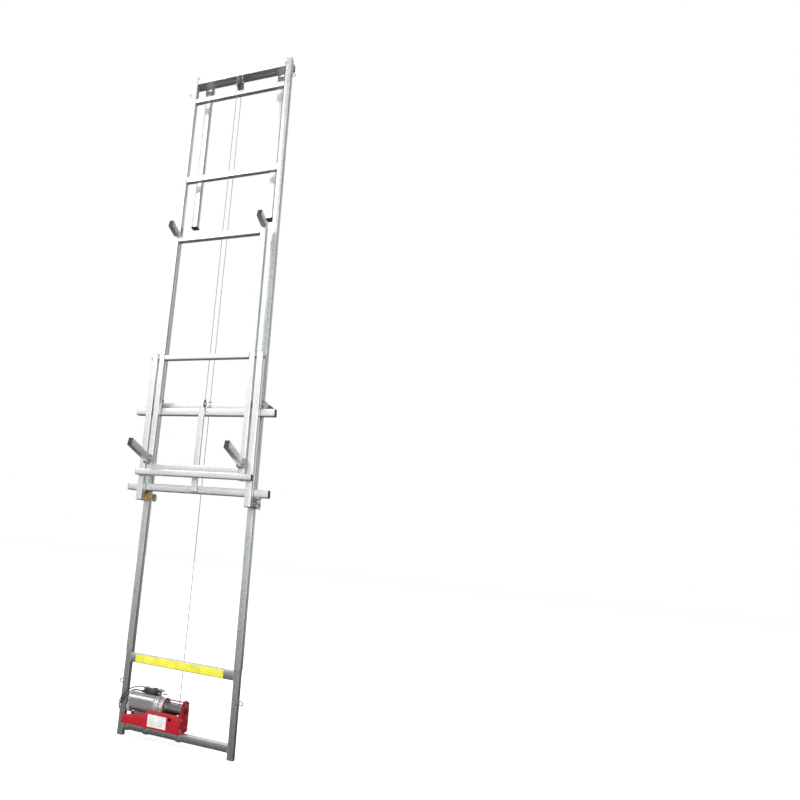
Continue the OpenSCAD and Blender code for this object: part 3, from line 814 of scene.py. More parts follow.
def cutRods(piece, rods):
    bm = bmesh.new()
    for start, end, radius in rods:
        addRod(bm, start, end, radius, 40)
    mesh = bpy.data.meshes.new("cutting")
    bm.to_mesh(mesh)
    bm.free()
    cutter = bpy.data.objects.new("cutting", mesh)
    scene.collection.objects.link(cutter)
    cut = piece.modifiers.new("cut", "BOOLEAN")
    cut.operation, cut.solver, cut.object = "DIFFERENCE", "EXACT", cutter
    bpy.context.view_layer.update()
    done = bpy.data.meshes.new_from_object(piece.evaluated_get(bpy.context.evaluated_depsgraph_get()))
    old = piece.data
    piece.modifiers.clear()
    piece.data = done
    bpy.data.meshes.remove(old)
    bpy.data.objects.remove(cutter)
    bpy.data.meshes.remove(mesh)


# the arched plates at the two ends of the drum
def makeArchPlate(h, name, x, halfY, foot, top, finish, bolts):
    z0 = h["axisZ"]
    reach = top - z0
    corner = math.asin(halfY / reach) if halfY < reach else math.pi / 2
    outline = [(halfY, foot)]
    for k in range(25):
        a = corner - 2 * corner * k / 24
        outline.append((reach * math.sin(a), z0 + reach * math.cos(a)))
    outline.append((-halfY, foot))
    bm, part = bmesh.new(), bmesh.new()
    face = part.faces.new([part.verts.new((x * mm, y * mm, z * mm)) for y, z in outline])
    grown = bmesh.ops.extrude_face_region(part, geom=[face])
    bmesh.ops.translate(part, vec=(h["sheet"] * mm, 0, 0),
                        verts=[v for v in grown["geom"] if isinstance(v, bmesh.types.BMVert)])
    bmesh.ops.recalc_face_normals(part, faces=part.faces)
    softenEdges(part, sharpEdges(part, 1.2), 0.001, 2)
    joinInto(bm, part)
    makePiece(name, bm, "mast", finishes[finish], ["hoist_side_plates"], smooth=40)
    if bolts:
        bm = bmesh.new()
        for y, z in bolts:
            addBolt(bm, ((x + h["sheet"]) * mm, y * mm, z * mm), (1, 0, 0), 0.010, 0.0045)
        makePiece(name + "Bolts", bm, "mast", finishes["zinc"])


def makeDrumRope(h):
    first, last = -56.0, 35.0
    turns, radius = h["ropeTurns"], h["ropeRadius"] * mm
    perTurn = 24
    points = []
    for k in range(turns * perTurn + 1):
        a = math.tau * k / perTurn
        x = first + (last - first) * k / (turns * perTurn)
        points.append((x * mm, radius * math.sin(a), h["axisZ"] * mm + radius * math.cos(a)))
    data = bpy.data.curves.new("drumRope", "CURVE")
    data.dimensions, data.bevel_depth, data.bevel_resolution = "3D", 0.00185, 2
    data.use_fill_caps = True
    line = data.splines.new("POLY")
    line.points.add(len(points) - 1)
    for p, co in zip(line.points, points):
        p.co = (*co, 1)
    line.use_smooth = True
    data.materials.append(finishes["ropeX"])
    piece = bpy.data.objects.new("drumRope", data)
    scene.collection.objects.link(piece)
    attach(piece, "drum")


def makeMotorTrim(h):
    x0, x1 = h["motorX"]
    z = h["axisZ"]
    bm = bmesh.new()
    for low, high, grow in ((x0 - 1.5, x0 + 9, 1.5), (x1 - 12, x1 - 0.5, 1.5)):  # end bells
        half = h["motorHalf"] + grow
        part = bmesh.new()
        bmesh.ops.create_cube(part, size=1, matrix=Matrix.Translation(((low + high) / 2 * mm, 0, z * mm))
                              @ Matrix.Diagonal(((high - low) * mm, 2 * half * mm, 2 * half * mm, 1)))
        along = [e for e in part.edges if abs((e.verts[0].co - e.verts[1].co).normalized().x) > 0.9]
        softenEdges(part, along, 0.025, 8)
        softenEdges(part, sharpEdges(part, 1.0), 0.002, 2)
        joinInto(bm, part)
    for y in (-1, 1):  # four long studs at the corners of the near end
        for dz in (-1, 1):
            addRod(bm, ((x0 - 4) * mm, 37 * y * mm, (z + 37 * dz) * mm),
                   ((x0 + 12) * mm, 37 * y * mm, (z + 37 * dz) * mm), 0.004, 16, 0.0008)
    for k in range(7):  # small fins on the crown beside the capacitor's seat
        for s in (-1, 1):
            y = s * (17 + 3.2 * (k % 3))
            if k < 3:
                addBlock(bm, ((x0 + 12) * mm, (y - 0.7) * mm, (z + 44) * mm),
                         ((x1 - 14) * mm, (y + 0.7) * mm, (z + 47.5) * mm), 0.0004)
    makePiece("motorEndBells", bm, "mast", finishes["motor"], smooth=40)
    bm = bmesh.new()
    for y in (-1, 1):
        for dz in (-1, 1):
            addBolt(bm, ((x0 - 1.5) * mm, 33 * y * mm, (z + 33 * dz) * mm), (-1, 0, 0), 0.007, 0.004)
    makePiece("motorBolts", bm, "mast", finishes["zinc"])
    bm = bmesh.new()  # rounded cowl with louvres over the fan
    x, zf = x0 - 24, h["fanZ"]
    addTurned(bm, (x * mm, 0, zf * mm), (1, 0, 0),
              [(r * mm, d * mm) for r, d in ((0, 0), (21, 0), (24.5, 0.9), (27, 3), (28, 6.5), (28, 24),
                                             (0, 24))], 56)
    makePiece("fanCowl", bm, "mast", finishes["cowl"], ["fan_cover"], smooth=40)
    bm = bmesh.new()
    for k in range(16):
        a = math.tau * k / 16
        turn = Matrix.Translation((x * mm, 0, zf * mm)) @ Matrix.Rotation(a, 4, "X")
        addBlock(bm, (-0.0004, -0.0014, 0.009), (0.0008, 0.0014, 0.021), 0.0003, turn)
    makePiece("fanLouvres", bm, "mast", finishes["plastic"])


def makeGearTrim(h):
    x, z = h["motorX"][1], h["axisZ"]
    bm = bmesh.new()
    outline = [(0, -0.4), (47, -0.4), (52, 0.6), (54.6, 3), (54.6, 9.5), (50, 11), (49, 13.4), (54.4, 15),
               (54.6, 22.5),
               (52, 25.6), (45, 27), (41.5, 31), (41, 42), (44.5, 43.5), (45, 51), (43, 52.4), (38, 53),
               (38, 55.6), (0, 55.6)]
    addTurned(bm, (x * mm, 0, z * mm), (1, 0, 0), [(r * mm, d * mm) for r, d in outline], 72)
    for k in range(20):  # ribs round the neck of the casting
        a = math.tau * (k + 0.5) / 20
        turn = Matrix.Translation((x * mm, 0, z * mm)) @ Matrix.Rotation(a, 4, "X")
        addBlock(bm, (0.026, -0.0016, 0.040), (0.044, 0.0016, 0.0475), 0.0006, turn)
    addBlock(bm, ((x + 2) * mm, -0.030, 0.079), ((x + 25) * mm, 0.030, 0.146), 0.002)
    addBlock(bm, ((x + 7) * mm, -0.024, 0.236), ((x + 19) * mm, 0.008, 0.284), 0.003)
    makePiece("gearCase", bm, "mast", finishes["gear"], ["gear_housing"], smooth=40)
    bm = bmesh.new()
    for k in range(6):
        a = math.tau * (k + 0.5) / 6
        y, dz = 49.6 * math.sin(a), 49.6 * math.cos(a)
        addBolt(bm, ((x + 25.2) * mm, y * mm, (z + dz) * mm), (1, 0, 0), 0.0075, 0.004, washer=False)
        addBolt(bm, ((x - 0.4) * mm, y * mm, (z + dz) * mm), (-1, 0, 0), 0.0075, 0.003, washer=False)
    makePiece("gearBolts", bm, "mast", finishes["zinc"])
    # limit lever on the bracket, with its rod and spring to the drum side
    bm = bmesh.new()
    addRod(bm, ((x + 2) * mm, -0.016, 0.277), ((x + 34) * mm, -0.016, 0.277), 0.0042, 24, 0.0006)
    addBlock(bm, ((x + 20) * mm, -0.021, 0.262), ((x + 24) * mm, -0.011, 0.2845), 0.001)
    addBlock(bm, ((x + 24) * mm, -0.019, 0.258), ((x + 52) * mm, -0.014, 0.266), 0.001,
             Matrix.Translation((0.012, 0, 0)) @ Matrix.Rotation(0.0, 4, "Y"))
    for k in range(9):
        addTorus(bm, ((x + 27 + 2.3 * k) * mm, -0.016, 0.277), (1, 0, 0), 0.0052, 0.0008, 20, 6)
    makePiece("limitLever", bm, "mast", finishes["zinc"], smooth=40)
    bm = bmesh.new()
    addBolt(bm, ((x + 13) * mm, -0.024, 0.272), (0, -1, 0), 0.010, 0.005)
    addBolt(bm, ((x + 13) * mm, -0.024, 0.252), (0, -1, 0), 0.008, 0.004)
    makePiece("bracketBolts", bm, "mast", finishes["darkSteel"])
    # tie rod over the drum, between the two arched plates
    bm = bmesh.new()
    for y, dz in ((-33, 38), (33, 38)):
        addRod(bm, (-0.066, y * mm, (z + dz) * mm), (0.044, y * mm, (z + dz) * mm), 0.0032, 20)
        addBolt(bm, (0.048, y * mm, (z + dz) * mm), (1, 0, 0), 0.010, 0.005)
    makePiece("drumTieRods", bm, "mast", finishes["darkSteel"])


def makeCapacitor(h):
    (x0, x1), z = h["capX"], h["capZ"]
    length = x1 - x0
    bm = bmesh.new()
    outline = [(0, 0), (15, 0), (18.2, 1), (19.5, 3.4), (19.5, length - 3.4), (18.2, length - 1),
               (15, length), (0, length)]
    addTurned(bm, (x0 * mm, 0, z * mm), (1, 0, 0), [(r * mm, d * mm) for r, d in outline], 56)
    addBlock(bm, (-0.190, -0.013, 0.242), (-0.140, 0.013, 0.256), 0.0015)
    for x in (x0 + 20, x1 - 20):
        addTurned(bm, (x * mm, 0, z * mm), (1, 0, 0),
                  [(r * mm, d * mm) for r, d in ((18.8, -4), (20.3, -4), (20.3, 4), (18.8, 4))], 56)
    makePiece("capacitorCan", bm, "mast", finishes["plastic"], ["capacitor"], smooth=40)
    bm = bmesh.new()
    part = bmesh.new()
    points = [part.verts.new((0, 19.75 * mm * math.sin(a), 19.75 * mm * math.cos(a)))
              for a in (-0.62 + 1.24 * k / 10 for k in range(11))]
    edges = [part.edges.new(pair) for pair in zip(points, points[1:])]
    grown = bmesh.ops.extrude_edge_only(part, edges=edges)
    bmesh.ops.translate(part, vec=((length - 34) * mm, 0, 0),
                        verts=[v for v in grown["geom"] if isinstance(v, bmesh.types.BMVert)])
    bmesh.ops.translate(part, vec=((x0 + 6) * mm, 0, z * mm), verts=part.verts)
    bmesh.ops.recalc_face_normals(part, faces=part.faces)
    bmesh.ops.solidify(part, geom=part.faces[:], thickness=0.0003)
    joinInto(bm, part)
    makePiece("capacitorBand", bm, "mast", finishes["plate"], smooth=40)


def makeDataPlate(h):
    (x0, z0), (x1, z1) = h["plateBox"]
    y = h["sideY"]
    bm = bmesh.new()
    addBlock(bm, (x0 * mm, (y - 0.6) * mm, z0 * mm), (x1 * mm, y * mm, z1 * mm), 0.0003)
    makePiece("dataPlate", bm, "mast", finishes["plate"])
    bm = bmesh.new()
    for k in range(5):  # plain grey rules
        z = z1 - 10 - 10 * k
        addBlock(bm, ((x0 + 66) * mm, (y - 0.8) * mm, (z - 1.2) * mm),
                 ((x1 - 8 - 6 * (k % 2)) * mm, (y - 0.55) * mm, (z + 1.2) * mm))
    for k in range(4):
        z = z1 - 14 - 11 * k
        addBlock(bm, ((x0 + 10) * mm, (y - 0.8) * mm, (z - 0.8) * mm),
                 ((x0 + 52 - 8 * (k % 2)) * mm, (y - 0.55) * mm, (z + 0.8) * mm))
    makePiece("dataPlateRules", bm, "mast", finishes["rules"])


finishes["cowl"] = painted("cowlEnamel", (0.33, 0.36, 0.355), (0.5, 0.5, 0.5), 0.36)
finishes["rules"] = painted("ruleInk", (0.42, 0.42, 0.44), (0.5, 0.5, 0.5), 0.5)
makeChassis(hoist)
makeArchPlate(hoist, "outerArchPlate", hoist["endPlateX"], 57, 76, 247, "red",
              [(-42, 96), (42, 96), (-42, 150), (42, 150)])
makeArchPlate(hoist, "innerArchPlate", hoist["innerPlateX"], 50, 80, 243, "deepRed", [])
makeDrumRope(hoist)
makeMotorTrim(hoist)
makeGearTrim(hoist)
makeCapacitor(hoist)
makeDataPlate(hoist)
print("hoist dressed")


# ---- hold-down clamps of the hoist ----
def makeClamps():
    bm, bolts = bmesh.new(), bmesh.new()
    for x in (-300, -174, 30):
        w, s, r, low = 14, 3, 18.3, 35
        addBlock(bm, ((x - w) * mm, -(r + s) * mm, (low - s - 0.2) * mm),
                 ((x + w) * mm, (r + s) * mm, (low - 0.2) * mm), 0.0009)
        for d in (-1, 1):
            a, b = sorted((d * r, d * (r + s)))
            addBlock(bm, ((x - w) * mm, a * mm, (low - s) * mm), ((x + w) * mm, b * mm, 0.075), 0.0009)
            a, b = sorted((d * (r + s - 0.6), d * (r + 23)))
            addBlock(bm, ((x - w) * mm, a * mm, 0.072), ((x + w) * mm, b * mm, 0.075), 0.0009)
            addBolt(bolts, (x * mm, d * 0.034, 0.072), (0, 0, -1), 0.0115, 0.0075, thread=0.002)
            addBolt(bolts, (x * mm, d * 0.034, 0.079), (0, 0, 1), 0.0115, 0.0052, washer=False)
    makePiece("clampStraps", bm, "mast", finishes["zinc"], ["hoist_clamps"], smooth=40)
    makePiece("clampBolts", bolts, "mast", finishes["zinc"])


makeClamps()

# ---- film on the crossbar above the hoist: plain yellow, no lettering ----
filmStrip = {"x": (-290, 262), "z": (403.5, 446.5), "y": -18.0, "thick": 0.35}


def makeFilmStrip(v):
    bm = bmesh.new()
    (x0, x1), (z0, z1) = v["x"], v["z"]
    addBlock(bm, (x0 * mm, (v["y"] - v["thick"]) * mm, z0 * mm), (x1 * mm, v["y"] * mm, z1 * mm), 0.00012)
    makePiece("crossbarFilm", bm, "mast", finishes["yellow"])


makeFilmStrip(filmStrip)


# ---- head of the mast: pulley, its bracket and the rope ----
def makePulleyHead():
    low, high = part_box("sheave")
    y, z = (low.y + high.y) / 2, (low.z + high.z) / 2
    bm = bmesh.new()
    addRod(bm, (-0.024, y, z), (0.024, y, z), 0.00798, 32)
    makePiece("pulleyPin", bm, "mast", finishes["darkSteel"], ["pulley_axle"])
    bm = bmesh.new()
    for s in (-1, 1):
        addBolt(bm, (s * 0.0196, y, z), (s, 0, 0), 0.0185, 0.0062, thread=0.001)
    makePiece("pulleyNuts", bm, "mast", finishes["zinc"])
    bm = bmesh.new()
    half = 11 * mm
    ring = [(8.03, -11), (30, -11), (31, -9.5), (36, -9.5), (44.6, -11), (46, -10.4), (46, -9.3),
            (38.6, -2.8), (36.0, -1.6),
            (35.7, 0), (36.0, 1.6), (38.6, 2.8), (46, 9.3), (46, 10.4), (44.6, 11), (36, 9.5), (31, 9.5),
            (30, 11), (8.03, 11)]
    addTurned(bm, (0, y, z), (1, 0, 0), [(r * mm, h * mm) for r, h in ring], 96)
    makePiece("sheaveWheel", bm, "sheave", finishes["sheaveGrey"], ["sheave"], smooth=40)
    # rope over the top half of the pulley, then down each side
    radius = 0.038
    turns = [math.pi * k / 36 for k in range(37)]
    arc = [(0, y - radius * math.cos(a), z + radius * math.sin(a)) for a in turns]
    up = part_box("rope_up")
    bottom = up[0].z
    points = arc + [(0, y + radius, z + (bottom - z) * k / 24) for k in range(1, 25)]
    data = bpy.data.curves.new("ropeUpRun", "CURVE")
    data.dimensions, data.bevel_depth, data.bevel_resolution = "3D", 0.00195, 3
    data.use_fill_caps = True
    line = data.splines.new("POLY")
    line.points.add(len(points) - 1)
    for p, co in zip(line.points, points):
        p.co = (*co, 1)
    line.use_smooth = True
    data.materials.append(finishes["ropeZ"])
    run = bpy.data.objects.new("ropeUpRun", data)
    scene.collection.objects.link(run)
    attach(run, "mast")
    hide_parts("rope_up")
    # the run down to the carriage: one straight rod, on no body
    low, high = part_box("rope_fall")
    yFall = (low.y + high.y) / 2
    bm = bmesh.new()
    addRod(bm, (0, yFall, low.z - 0.004), (0, yFall, high.z), 0.00195, 14)
    fall = makePiece("ropeFallRun", bm, None, finishes["ropeZ"], ["rope_fall"])
    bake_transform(fall)


makePulleyHead()


# eyes on the outside of the mast, each a bent bar with its weld
def makeEyes():
    bm, beads = bmesh.new(), bmesh.new()
    for s in (-1, 1):
        for x, z in ((371.5, 288), (374, 4185)):
            place = Vector((s * x, 0, z)) * mm
            addTorus(bm, place, (0, 1, 0), 0.0108, 0.0031, 36, 12)
            edge = (x - 14) * s
            for k in range(7):
                dz = -9 + 3 * k
                bmesh.ops.create_uvsphere(beads, u_segments=8, v_segments=5, radius=0.0026,
                                          matrix=Matrix.Translation(Vector((edge + s * 1.2, 0, z + dz)) * mm)
                                          @ Matrix.Diagonal((1, 1.25, 0.9, 1)))
    makePiece("mastEyes", bm, "mast", finishes["zinc"], ["eye_rings"])
    makePiece("mastEyeWelds", beads, "mast", finishes["weld"], merge=False)


makeEyes()
print("mast head and eyes made")

# ---- landing legs, hung behind the head of the mast ----
landing = {"x": 266, "y": 82, "pivotZ": 4215, "length": 1040, "holes": (3950, 3805, 3660), "holeRadius": 5.5}


def makeLandingLegs(v):
    low = v["pivotZ"] + 25 - v["length"]
    for side, name in ((-1, "left"), (1, "right")):
        x, y = side * v["x"] * mm, v["y"] * mm
        bm = bmesh.new()
        addTube(bm, (x - 0.020, y - 0.020, low * mm), (x + 0.020, y + 0.020, (v["pivotZ"] + 25) * mm), 2)
        leg = makePiece(f"landingLeg{name.capitalize()}Tube", bm, f"leg_{name}", finishes["tubeZ"],
                        [f"landing_leg_{name}"])
        holes = [((x - 0.03, y, z * mm), (x + 0.03, y, z * mm), v["holeRadius"] * mm) for z in v["holes"]]
        holes.append(((x - 0.03, y, v["pivotZ"] * mm), (x + 0.03, y, v["pivotZ"] * mm), 0.00605))
        cutRods(leg, holes)
        bm = bmesh.new()
        addBlock(bm, (x - 0.022, y - 0.022, (low - 8) * mm), (x + 0.022, y + 0.022, (low + 1) * mm), 0.002)
        addPlug(bm, (x - 0.020, y - 0.020, (v["pivotZ"] + 25) * mm),
                (x + 0.020, y + 0.020, (v["pivotZ"] + 25) * mm),
                2, 1, proud=0.0001)
        makePiece(f"landingLeg{name.capitalize()}Foot", bm, f"leg_{name}", finishes["rubber"])
    bm, bolts = bmesh.new(), bmesh.new()
    for side in (-1, 1):
        for s in (-1, 1):
            x = side * v["x"] + s * 20.7
            a, b = sorted((x, x + s * 4))
            part = bmesh.new()
            addBlock(part, (a * mm, 0.060, 4.218), (b * mm, 0.104, 4.290), 0.0007)
            joinInto(bm, part)
            addBolt(bolts, ((x + s * 4) * mm, v["y"] * mm, v["pivotZ"] * mm + 0.0), (s, 0, 0), 0.0155, 0.0048)
        addRod(bm, ((side * v["x"] - 30) * mm, v["y"] * mm, v["pivotZ"] * mm),
               ((side * v["x"] + 30) * mm, v["y"] * mm, v["pivotZ"] * mm), 0.006, 24, 0.0006)
    makePiece("landingBrackets", bm, "mast", finishes["zinc"], ["leg_brackets"], smooth=40)
    makePiece("landingBolts", bolts, "mast", finishes["zinc"])


makeLandingLegs(landing)
print("landing legs made")


# ---- carriage: guide rollers, their plates and axles ----
guide = {
    "railX": 340, "rollerY": 42.3, "topZ": 1938, "lowZ": 1362, "plateX": 365, "plate": 4,
    "front": -70, "back": 62.3,
}


def makeRollers(g):
    outline = [(6.03, -21.8), (9.5, -21.8), (9.5, -23.5), (12.5, -23.5), (13.2, -22.6), (20.5, -22.6),
               (21.4, -23.5),
               (24.4, -23.5), (25.2, -22.7), (25.2, -21.4), (24.2, -20.4), (22.6, -20.1), (22, -19.4),
               (22, 19.4),
               (22.6, 20.1), (24.2, 20.4), (25.2, 21.4), (25.2, 22.7), (24.4, 23.5), (21.4, 23.5),
               (20.5, 22.6),
               (13.2, 22.6), (12.5, 23.5), (9.5, 23.5), (9.5, 21.8), (6.03, 21.8)]
    for name, y, z, finish in (("top_front", -1, "topZ", "amber"), ("top_rear", 1, "topZ", "olive"),
                               ("bottom_front", -1, "lowZ", "amber"), ("bottom_rear", 1, "lowZ", "olive")):
        bm, holes = bmesh.new(), bmesh.new()
        for side in (-1, 1):
            place = Vector((side * g["railX"], y * g["rollerY"], g[z])) * mm
            addTurned(bm, place, (1, 0, 0), [(r * mm, h * mm) for r, h in outline], 72)
            for k in range(6):  # moulded studs in the web, so that a turn of the roller shows
                a = math.tau * k / 6
                for s in (-1, 1):
                    at = place + Vector((s * 22.2, 17 * math.sin(a), 17 * math.cos(a))) * mm
                    addRod(holes, at, at + Vector((s * 0.0011, 0, 0)), 0.0019, 16, 0.0003)
        makePiece(f"guideRollers{name.title().replace('_', '')}", bm, f"rollers_{name}", finishes[finish],
                  [f"rollers_{name}"], smooth=40)
        makePiece(f"guideRollerStuds{name.title().replace('_', '')}", holes, f"rollers_{name}",
                  finishes[finish],
                  smooth=40)


def extrudeOutline(bm, outline, axis, start, thick, soft=0.0008):
    part = bmesh.new()
    others = [k for k in range(3) if k != axis]
    points = []
    for a, b in outline:
        co = [0.0, 0.0, 0.0]
        co[axis], co[others[0]], co[others[1]] = start * mm, a * mm, b * mm
        points.append(part.verts.new(co))
    face = part.faces.new(points)
    grown = bmesh.ops.extrude_face_region(part, geom=[face])
    step = [0.0, 0.0, 0.0]
    step[axis] = thick * mm
    bmesh.ops.translate(part, vec=step, verts=[v for v in grown["geom"] if isinstance(v, bmesh.types.BMVert)])
    bmesh.ops.recalc_face_normals(part, faces=part.faces)
    if soft:
        softenEdges(part, sharpEdges(part, 0.9), soft, 2)
    joinInto(bm, part)


def makeRollerPlates(g):
    bm, bolts, rods, nuts = bmesh.new(), bmesh.new(), bmesh.new(), bmesh.new()
    f, b = g["front"], g["back"]
    upper = [(f, 1908), (b, 1908), (b, 1956), (b - 14, 1970), (f + 14, 1970), (f, 1956)]
    lower = [(f, 1394), (b, 1394), (b, 1350), (b - 14, 1336), (f + 14, 1336), (f, 1350)]
    for side in (-1, 1):
        start = g["plateX"] if side > 0 else -g["plateX"] - g["plate"]
        for outline in (upper, lower):
            extrudeOutline(bm, outline, 0, start, g["plate"])
        a, c = sorted((side * (g["plateX"] + 1), side * 403))
        for low, high, way, z in ((1908, 1912, 1, 1912), (1390, 1394, -1, 1390)):
            addBlock(bm, (a * mm, -0.070, low * mm), (c * mm, -0.030, high * mm), 0.0008)
            for y in (-60, -40):
                addBolt(bolts, (side * 0.388, y * mm, z * mm), (0, 0, way), 0.010, 0.005)
        for z in (g["topZ"], g["lowZ"]):
            for y in (-g["rollerY"], g["rollerY"]):
                addRod(rods, (side * 0.313, y * mm, z * mm), (side * 0.370, y * mm, z * mm), 0.00598, 28)
                addBolt(nuts, (side * 0.3691, y * mm, z * mm), (side, 0, 0), 0.0165, 0.0042)
                addBolt(nuts, (side * 0.3158, y * mm, z * mm), (-side, 0, 0), 0.0165, 0.0022)
    makePiece("rollerPlates", bm, "carriage", finishes["zinc"], ["roller_plates"], smooth=40)
    makePiece("rollerPlateBolts", bolts, "carriage", finishes["zinc"])
    makePiece("rollerAxles", rods, "carriage", finishes["darkSteel"], ["roller_axles"])
    makePiece("rollerNuts", nuts, "carriage", finishes["zinc"])


# catch lever with its spring under the right end of the lower crossbar
catchLever = {"x": 377, "pivot": (-46, 1372), "thick": 5}


def makeCatch(v):
    y, z = v["pivot"]
    bm = bmesh.new()
    outline = [(-80, 1384), (-70, 1389), (-46, 1388), (-28, 1379), (-20, 1358), (-27, 1340), (-38, 1330),
               (-45, 1336),
               (-37, 1348), (-40, 1360), (-54, 1367), (-74, 1371)]
    extrudeOutline(bm, outline, 0, v["x"], v["thick"], 0.0009)
    outline = [(-78, 1350), (-70, 1358), (-36, 1350), (-4, 1338), (-2, 1331), (-10, 1328), (-42, 1336),
               (-72, 1341)]
    extrudeOutline(bm, outline, 0, v["x"] + 9, v["thick"] - 1, 0.0008)
    addBlock(bm, ((v["x"] + 5) * mm, -0.083, 1.3845), ((v["x"] + 34) * mm, -0.050, 1.3885), 0.0008)
    addBlock(bm, ((v["x"] + 12) * mm, -0.076, 1.340), ((v["x"] + 30) * mm, -0.052, 1.344), 0.0008)
    makePiece("catchLeverPlates", bm, "carriage", finishes["weld"], smooth=40)
    bm = bmesh.new()
    addBolt(bm, ((v["x"] + 5) * mm, y * mm, z * mm), (1, 0, 0), 0.013, 0.006)
    addRod(bm, (0.3688, y * mm, z * mm), ((v["x"] + 6) * mm, y * mm, z * mm), 0.004, 20)
    addBolt(bm, ((v["x"] + 11) * mm, -0.058, 1.350), (1, 0, 0), 0.010, 0.005)
    addRod(bm, (0.3688, -0.058, 1.350), ((v["x"] + 12) * mm, -0.058, 1.350), 0.003, 20)
    for k in range(13):
        addTorus(bm, ((v["x"] - 4) * mm, -0.064 + 0.0034 * k, 1.3445 - 0.0005 * k), (0, 1, -0.15), 0.0034,
                 0.0008, 18, 6)
    makePiece("catchFixings", bm, "carriage", finishes["zinc"], smooth=40)
    bm = bmesh.new()  # triangular stop on the upper crossbar
    extrudeOutline(bm, [(404, 1912), (440, 1912), (440, 1916), (412, 1936), (404, 1936)], 1, -52, 4)
    addBlock(bm, (0.404, -0.066, 1.908), (0.442, -0.034, 1.9115), 0.0006)
    makePiece("crossbarStop", bm, "carriage", finishes["darkSteel"], smooth=40)


def makeRopeEye():
    low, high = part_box("rope_eye")
    y, z = (low.y + high.y) / 2, low.z
    bm = bmesh.new()
    addRod(bm, (0, y, z), (0, y, z + 0.0022), 0.012, 32, 0.0005)
    addRod(bm, (0, y, z + 0.002), (0, y, z + 0.011), 0.0065, 28, 0.0008)
    addTorus(bm, (0, y, z + 0.0195), (1, 0, 0), 0.0088, 0.0029, 36, 12)
    guide = bmesh.new()  # ring on the middle crossbar that steadies the rope
    upY = (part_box("rope_up")[0].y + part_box("rope_up")[1].y) / 2
    addTorus(guide, (0, upY, 1.966), (0, 0.25, 1), 0.0092, 0.0026, 32, 10)
    addRod(guide, (0, 0.012, 1.951), (0, upY - 0.0085, 1.9645), 0.0026, 16)
    makePiece("ropeGuideRing", guide, "mast", finishes["zinc"], smooth=45)
    makePiece("ropeEyeNut", bm, "carriage", finishes["darkSteel"], ["rope_eye"])
    bm = bmesh.new()
    addTorus(bm, (0, y, z + 0.0315), (0.25, 1, 0), 0.0108, 0.0028, 36, 12)  # shackle bow
    addRod(bm, (-0.011, y + 0.0015, z + 0.0245), (0.011, y - 0.0015, z + 0.0245), 0.0026, 20, 0.0006)
    addTorus(bm, (0, y, z + 0.0415), (1, 0, 0), 0.0062, 0.0022, 36, 10)  # rope round its thimble
    for k in range(2):
        addRod(bm, (-0.0055, y, z + 0.0478 + 0.0062 * k), (0.0055, y, z + 0.0478 + 0.0062 * k), 0.0042, 20,
               0.0009)
    addRod(bm, (0, y, z + 0.045), (0, y, z + 0.058), 0.0040, 20, 0.0008)
    addRod(bm, (0, y + 0.0045, z + 0.046), (0, y + 0.0062, z + 0.0585), 0.0017, 12)  # the rope's dead end
    makePiece("ropeShackle", bm, "carriage", finishes["darkSteel"], smooth=45)


makeRollers(guide)
makeRollerPlates(guide)
makeCatch(catchLever)
makeRopeEye()
print("carriage hardware made")

# ---- tray hardware ----


def makeTrayHardware():
    postX = sum(c.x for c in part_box("tray_post_right")) / 2
    low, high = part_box("tray_pivots")
    y, z = (low.y + high.y) / 2, (low.z + high.z) / 2
    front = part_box("tray_post_right")[0].y
    rods, spacers, nuts = bmesh.new(), bmesh.new(), bmesh.new()
    for s in (-1, 1):
        addRod(rods, (s * (postX - 0.014), y, z), (s * 0.3745, y, z), 0.00798, 32)
        addTurned(spacers, (s * 0.3171, y, z), (s, 0, 0),
                  [(r * mm, h * mm) for r, h in ((7.9, 0), (15, 0), (15, 2.4), (12, 3.2), (12, 7.4),
                                                 (15, 8.2), (15, 10.6), (7.9, 10.6))], 40)
        addBolt(nuts, (s * 0.3685, y, z), (s, 0, 0), 0.0215, 0.0062)
    makePiece("trayPivotPins", rods, "tray", finishes["darkSteel"], ["tray_pivots"])
    makePiece("trayPivotSpacers", spacers, "tray", finishes["zinc"])
    makePiece("trayPivotNuts", nuts, "tray", finishes["zinc"])
    low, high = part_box("arm_lugs")
    z0, z1, f = low.z / mm, high.z / mm, front / mm
    lugs, pins = bmesh.new(), bmesh.new()
    outline = [(f, z0), (f, z1), (f - 33, z1), (f - 41, z1 - 5), (f - 45, z1 - 14), (f - 45, z0 + 14),
               (f - 41, z0 + 5), (f - 33, z0)]
    for side in (-1, 1):
        for s in (-1, 1):
            a = side * postX / mm + s * 15.6
            extrudeOutline(lugs, outline, 0, min(a, a + s * 4), 4)
            addBolt(pins, ((a + s * 4) * mm, (f - 26) * mm, (z0 + z1 + 4) / 2 * mm), (s, 0, 0), 0.013, 0.0045)
        addRod(pins, (side * postX - 0.024, (f - 26) * mm, (z0 + z1 + 4) / 2 * mm),
               (side * postX + 0.024, (f - 26) * mm, (z0 + z1 + 4) / 2 * mm), 0.00498, 24)
    makePiece("armLugPlates", lugs, "tray", finishes["zinc"], ["arm_lugs"], smooth=40)
    makePiece("armPins", pins, "tray", finishes["zinc"])


makeTrayHardware()


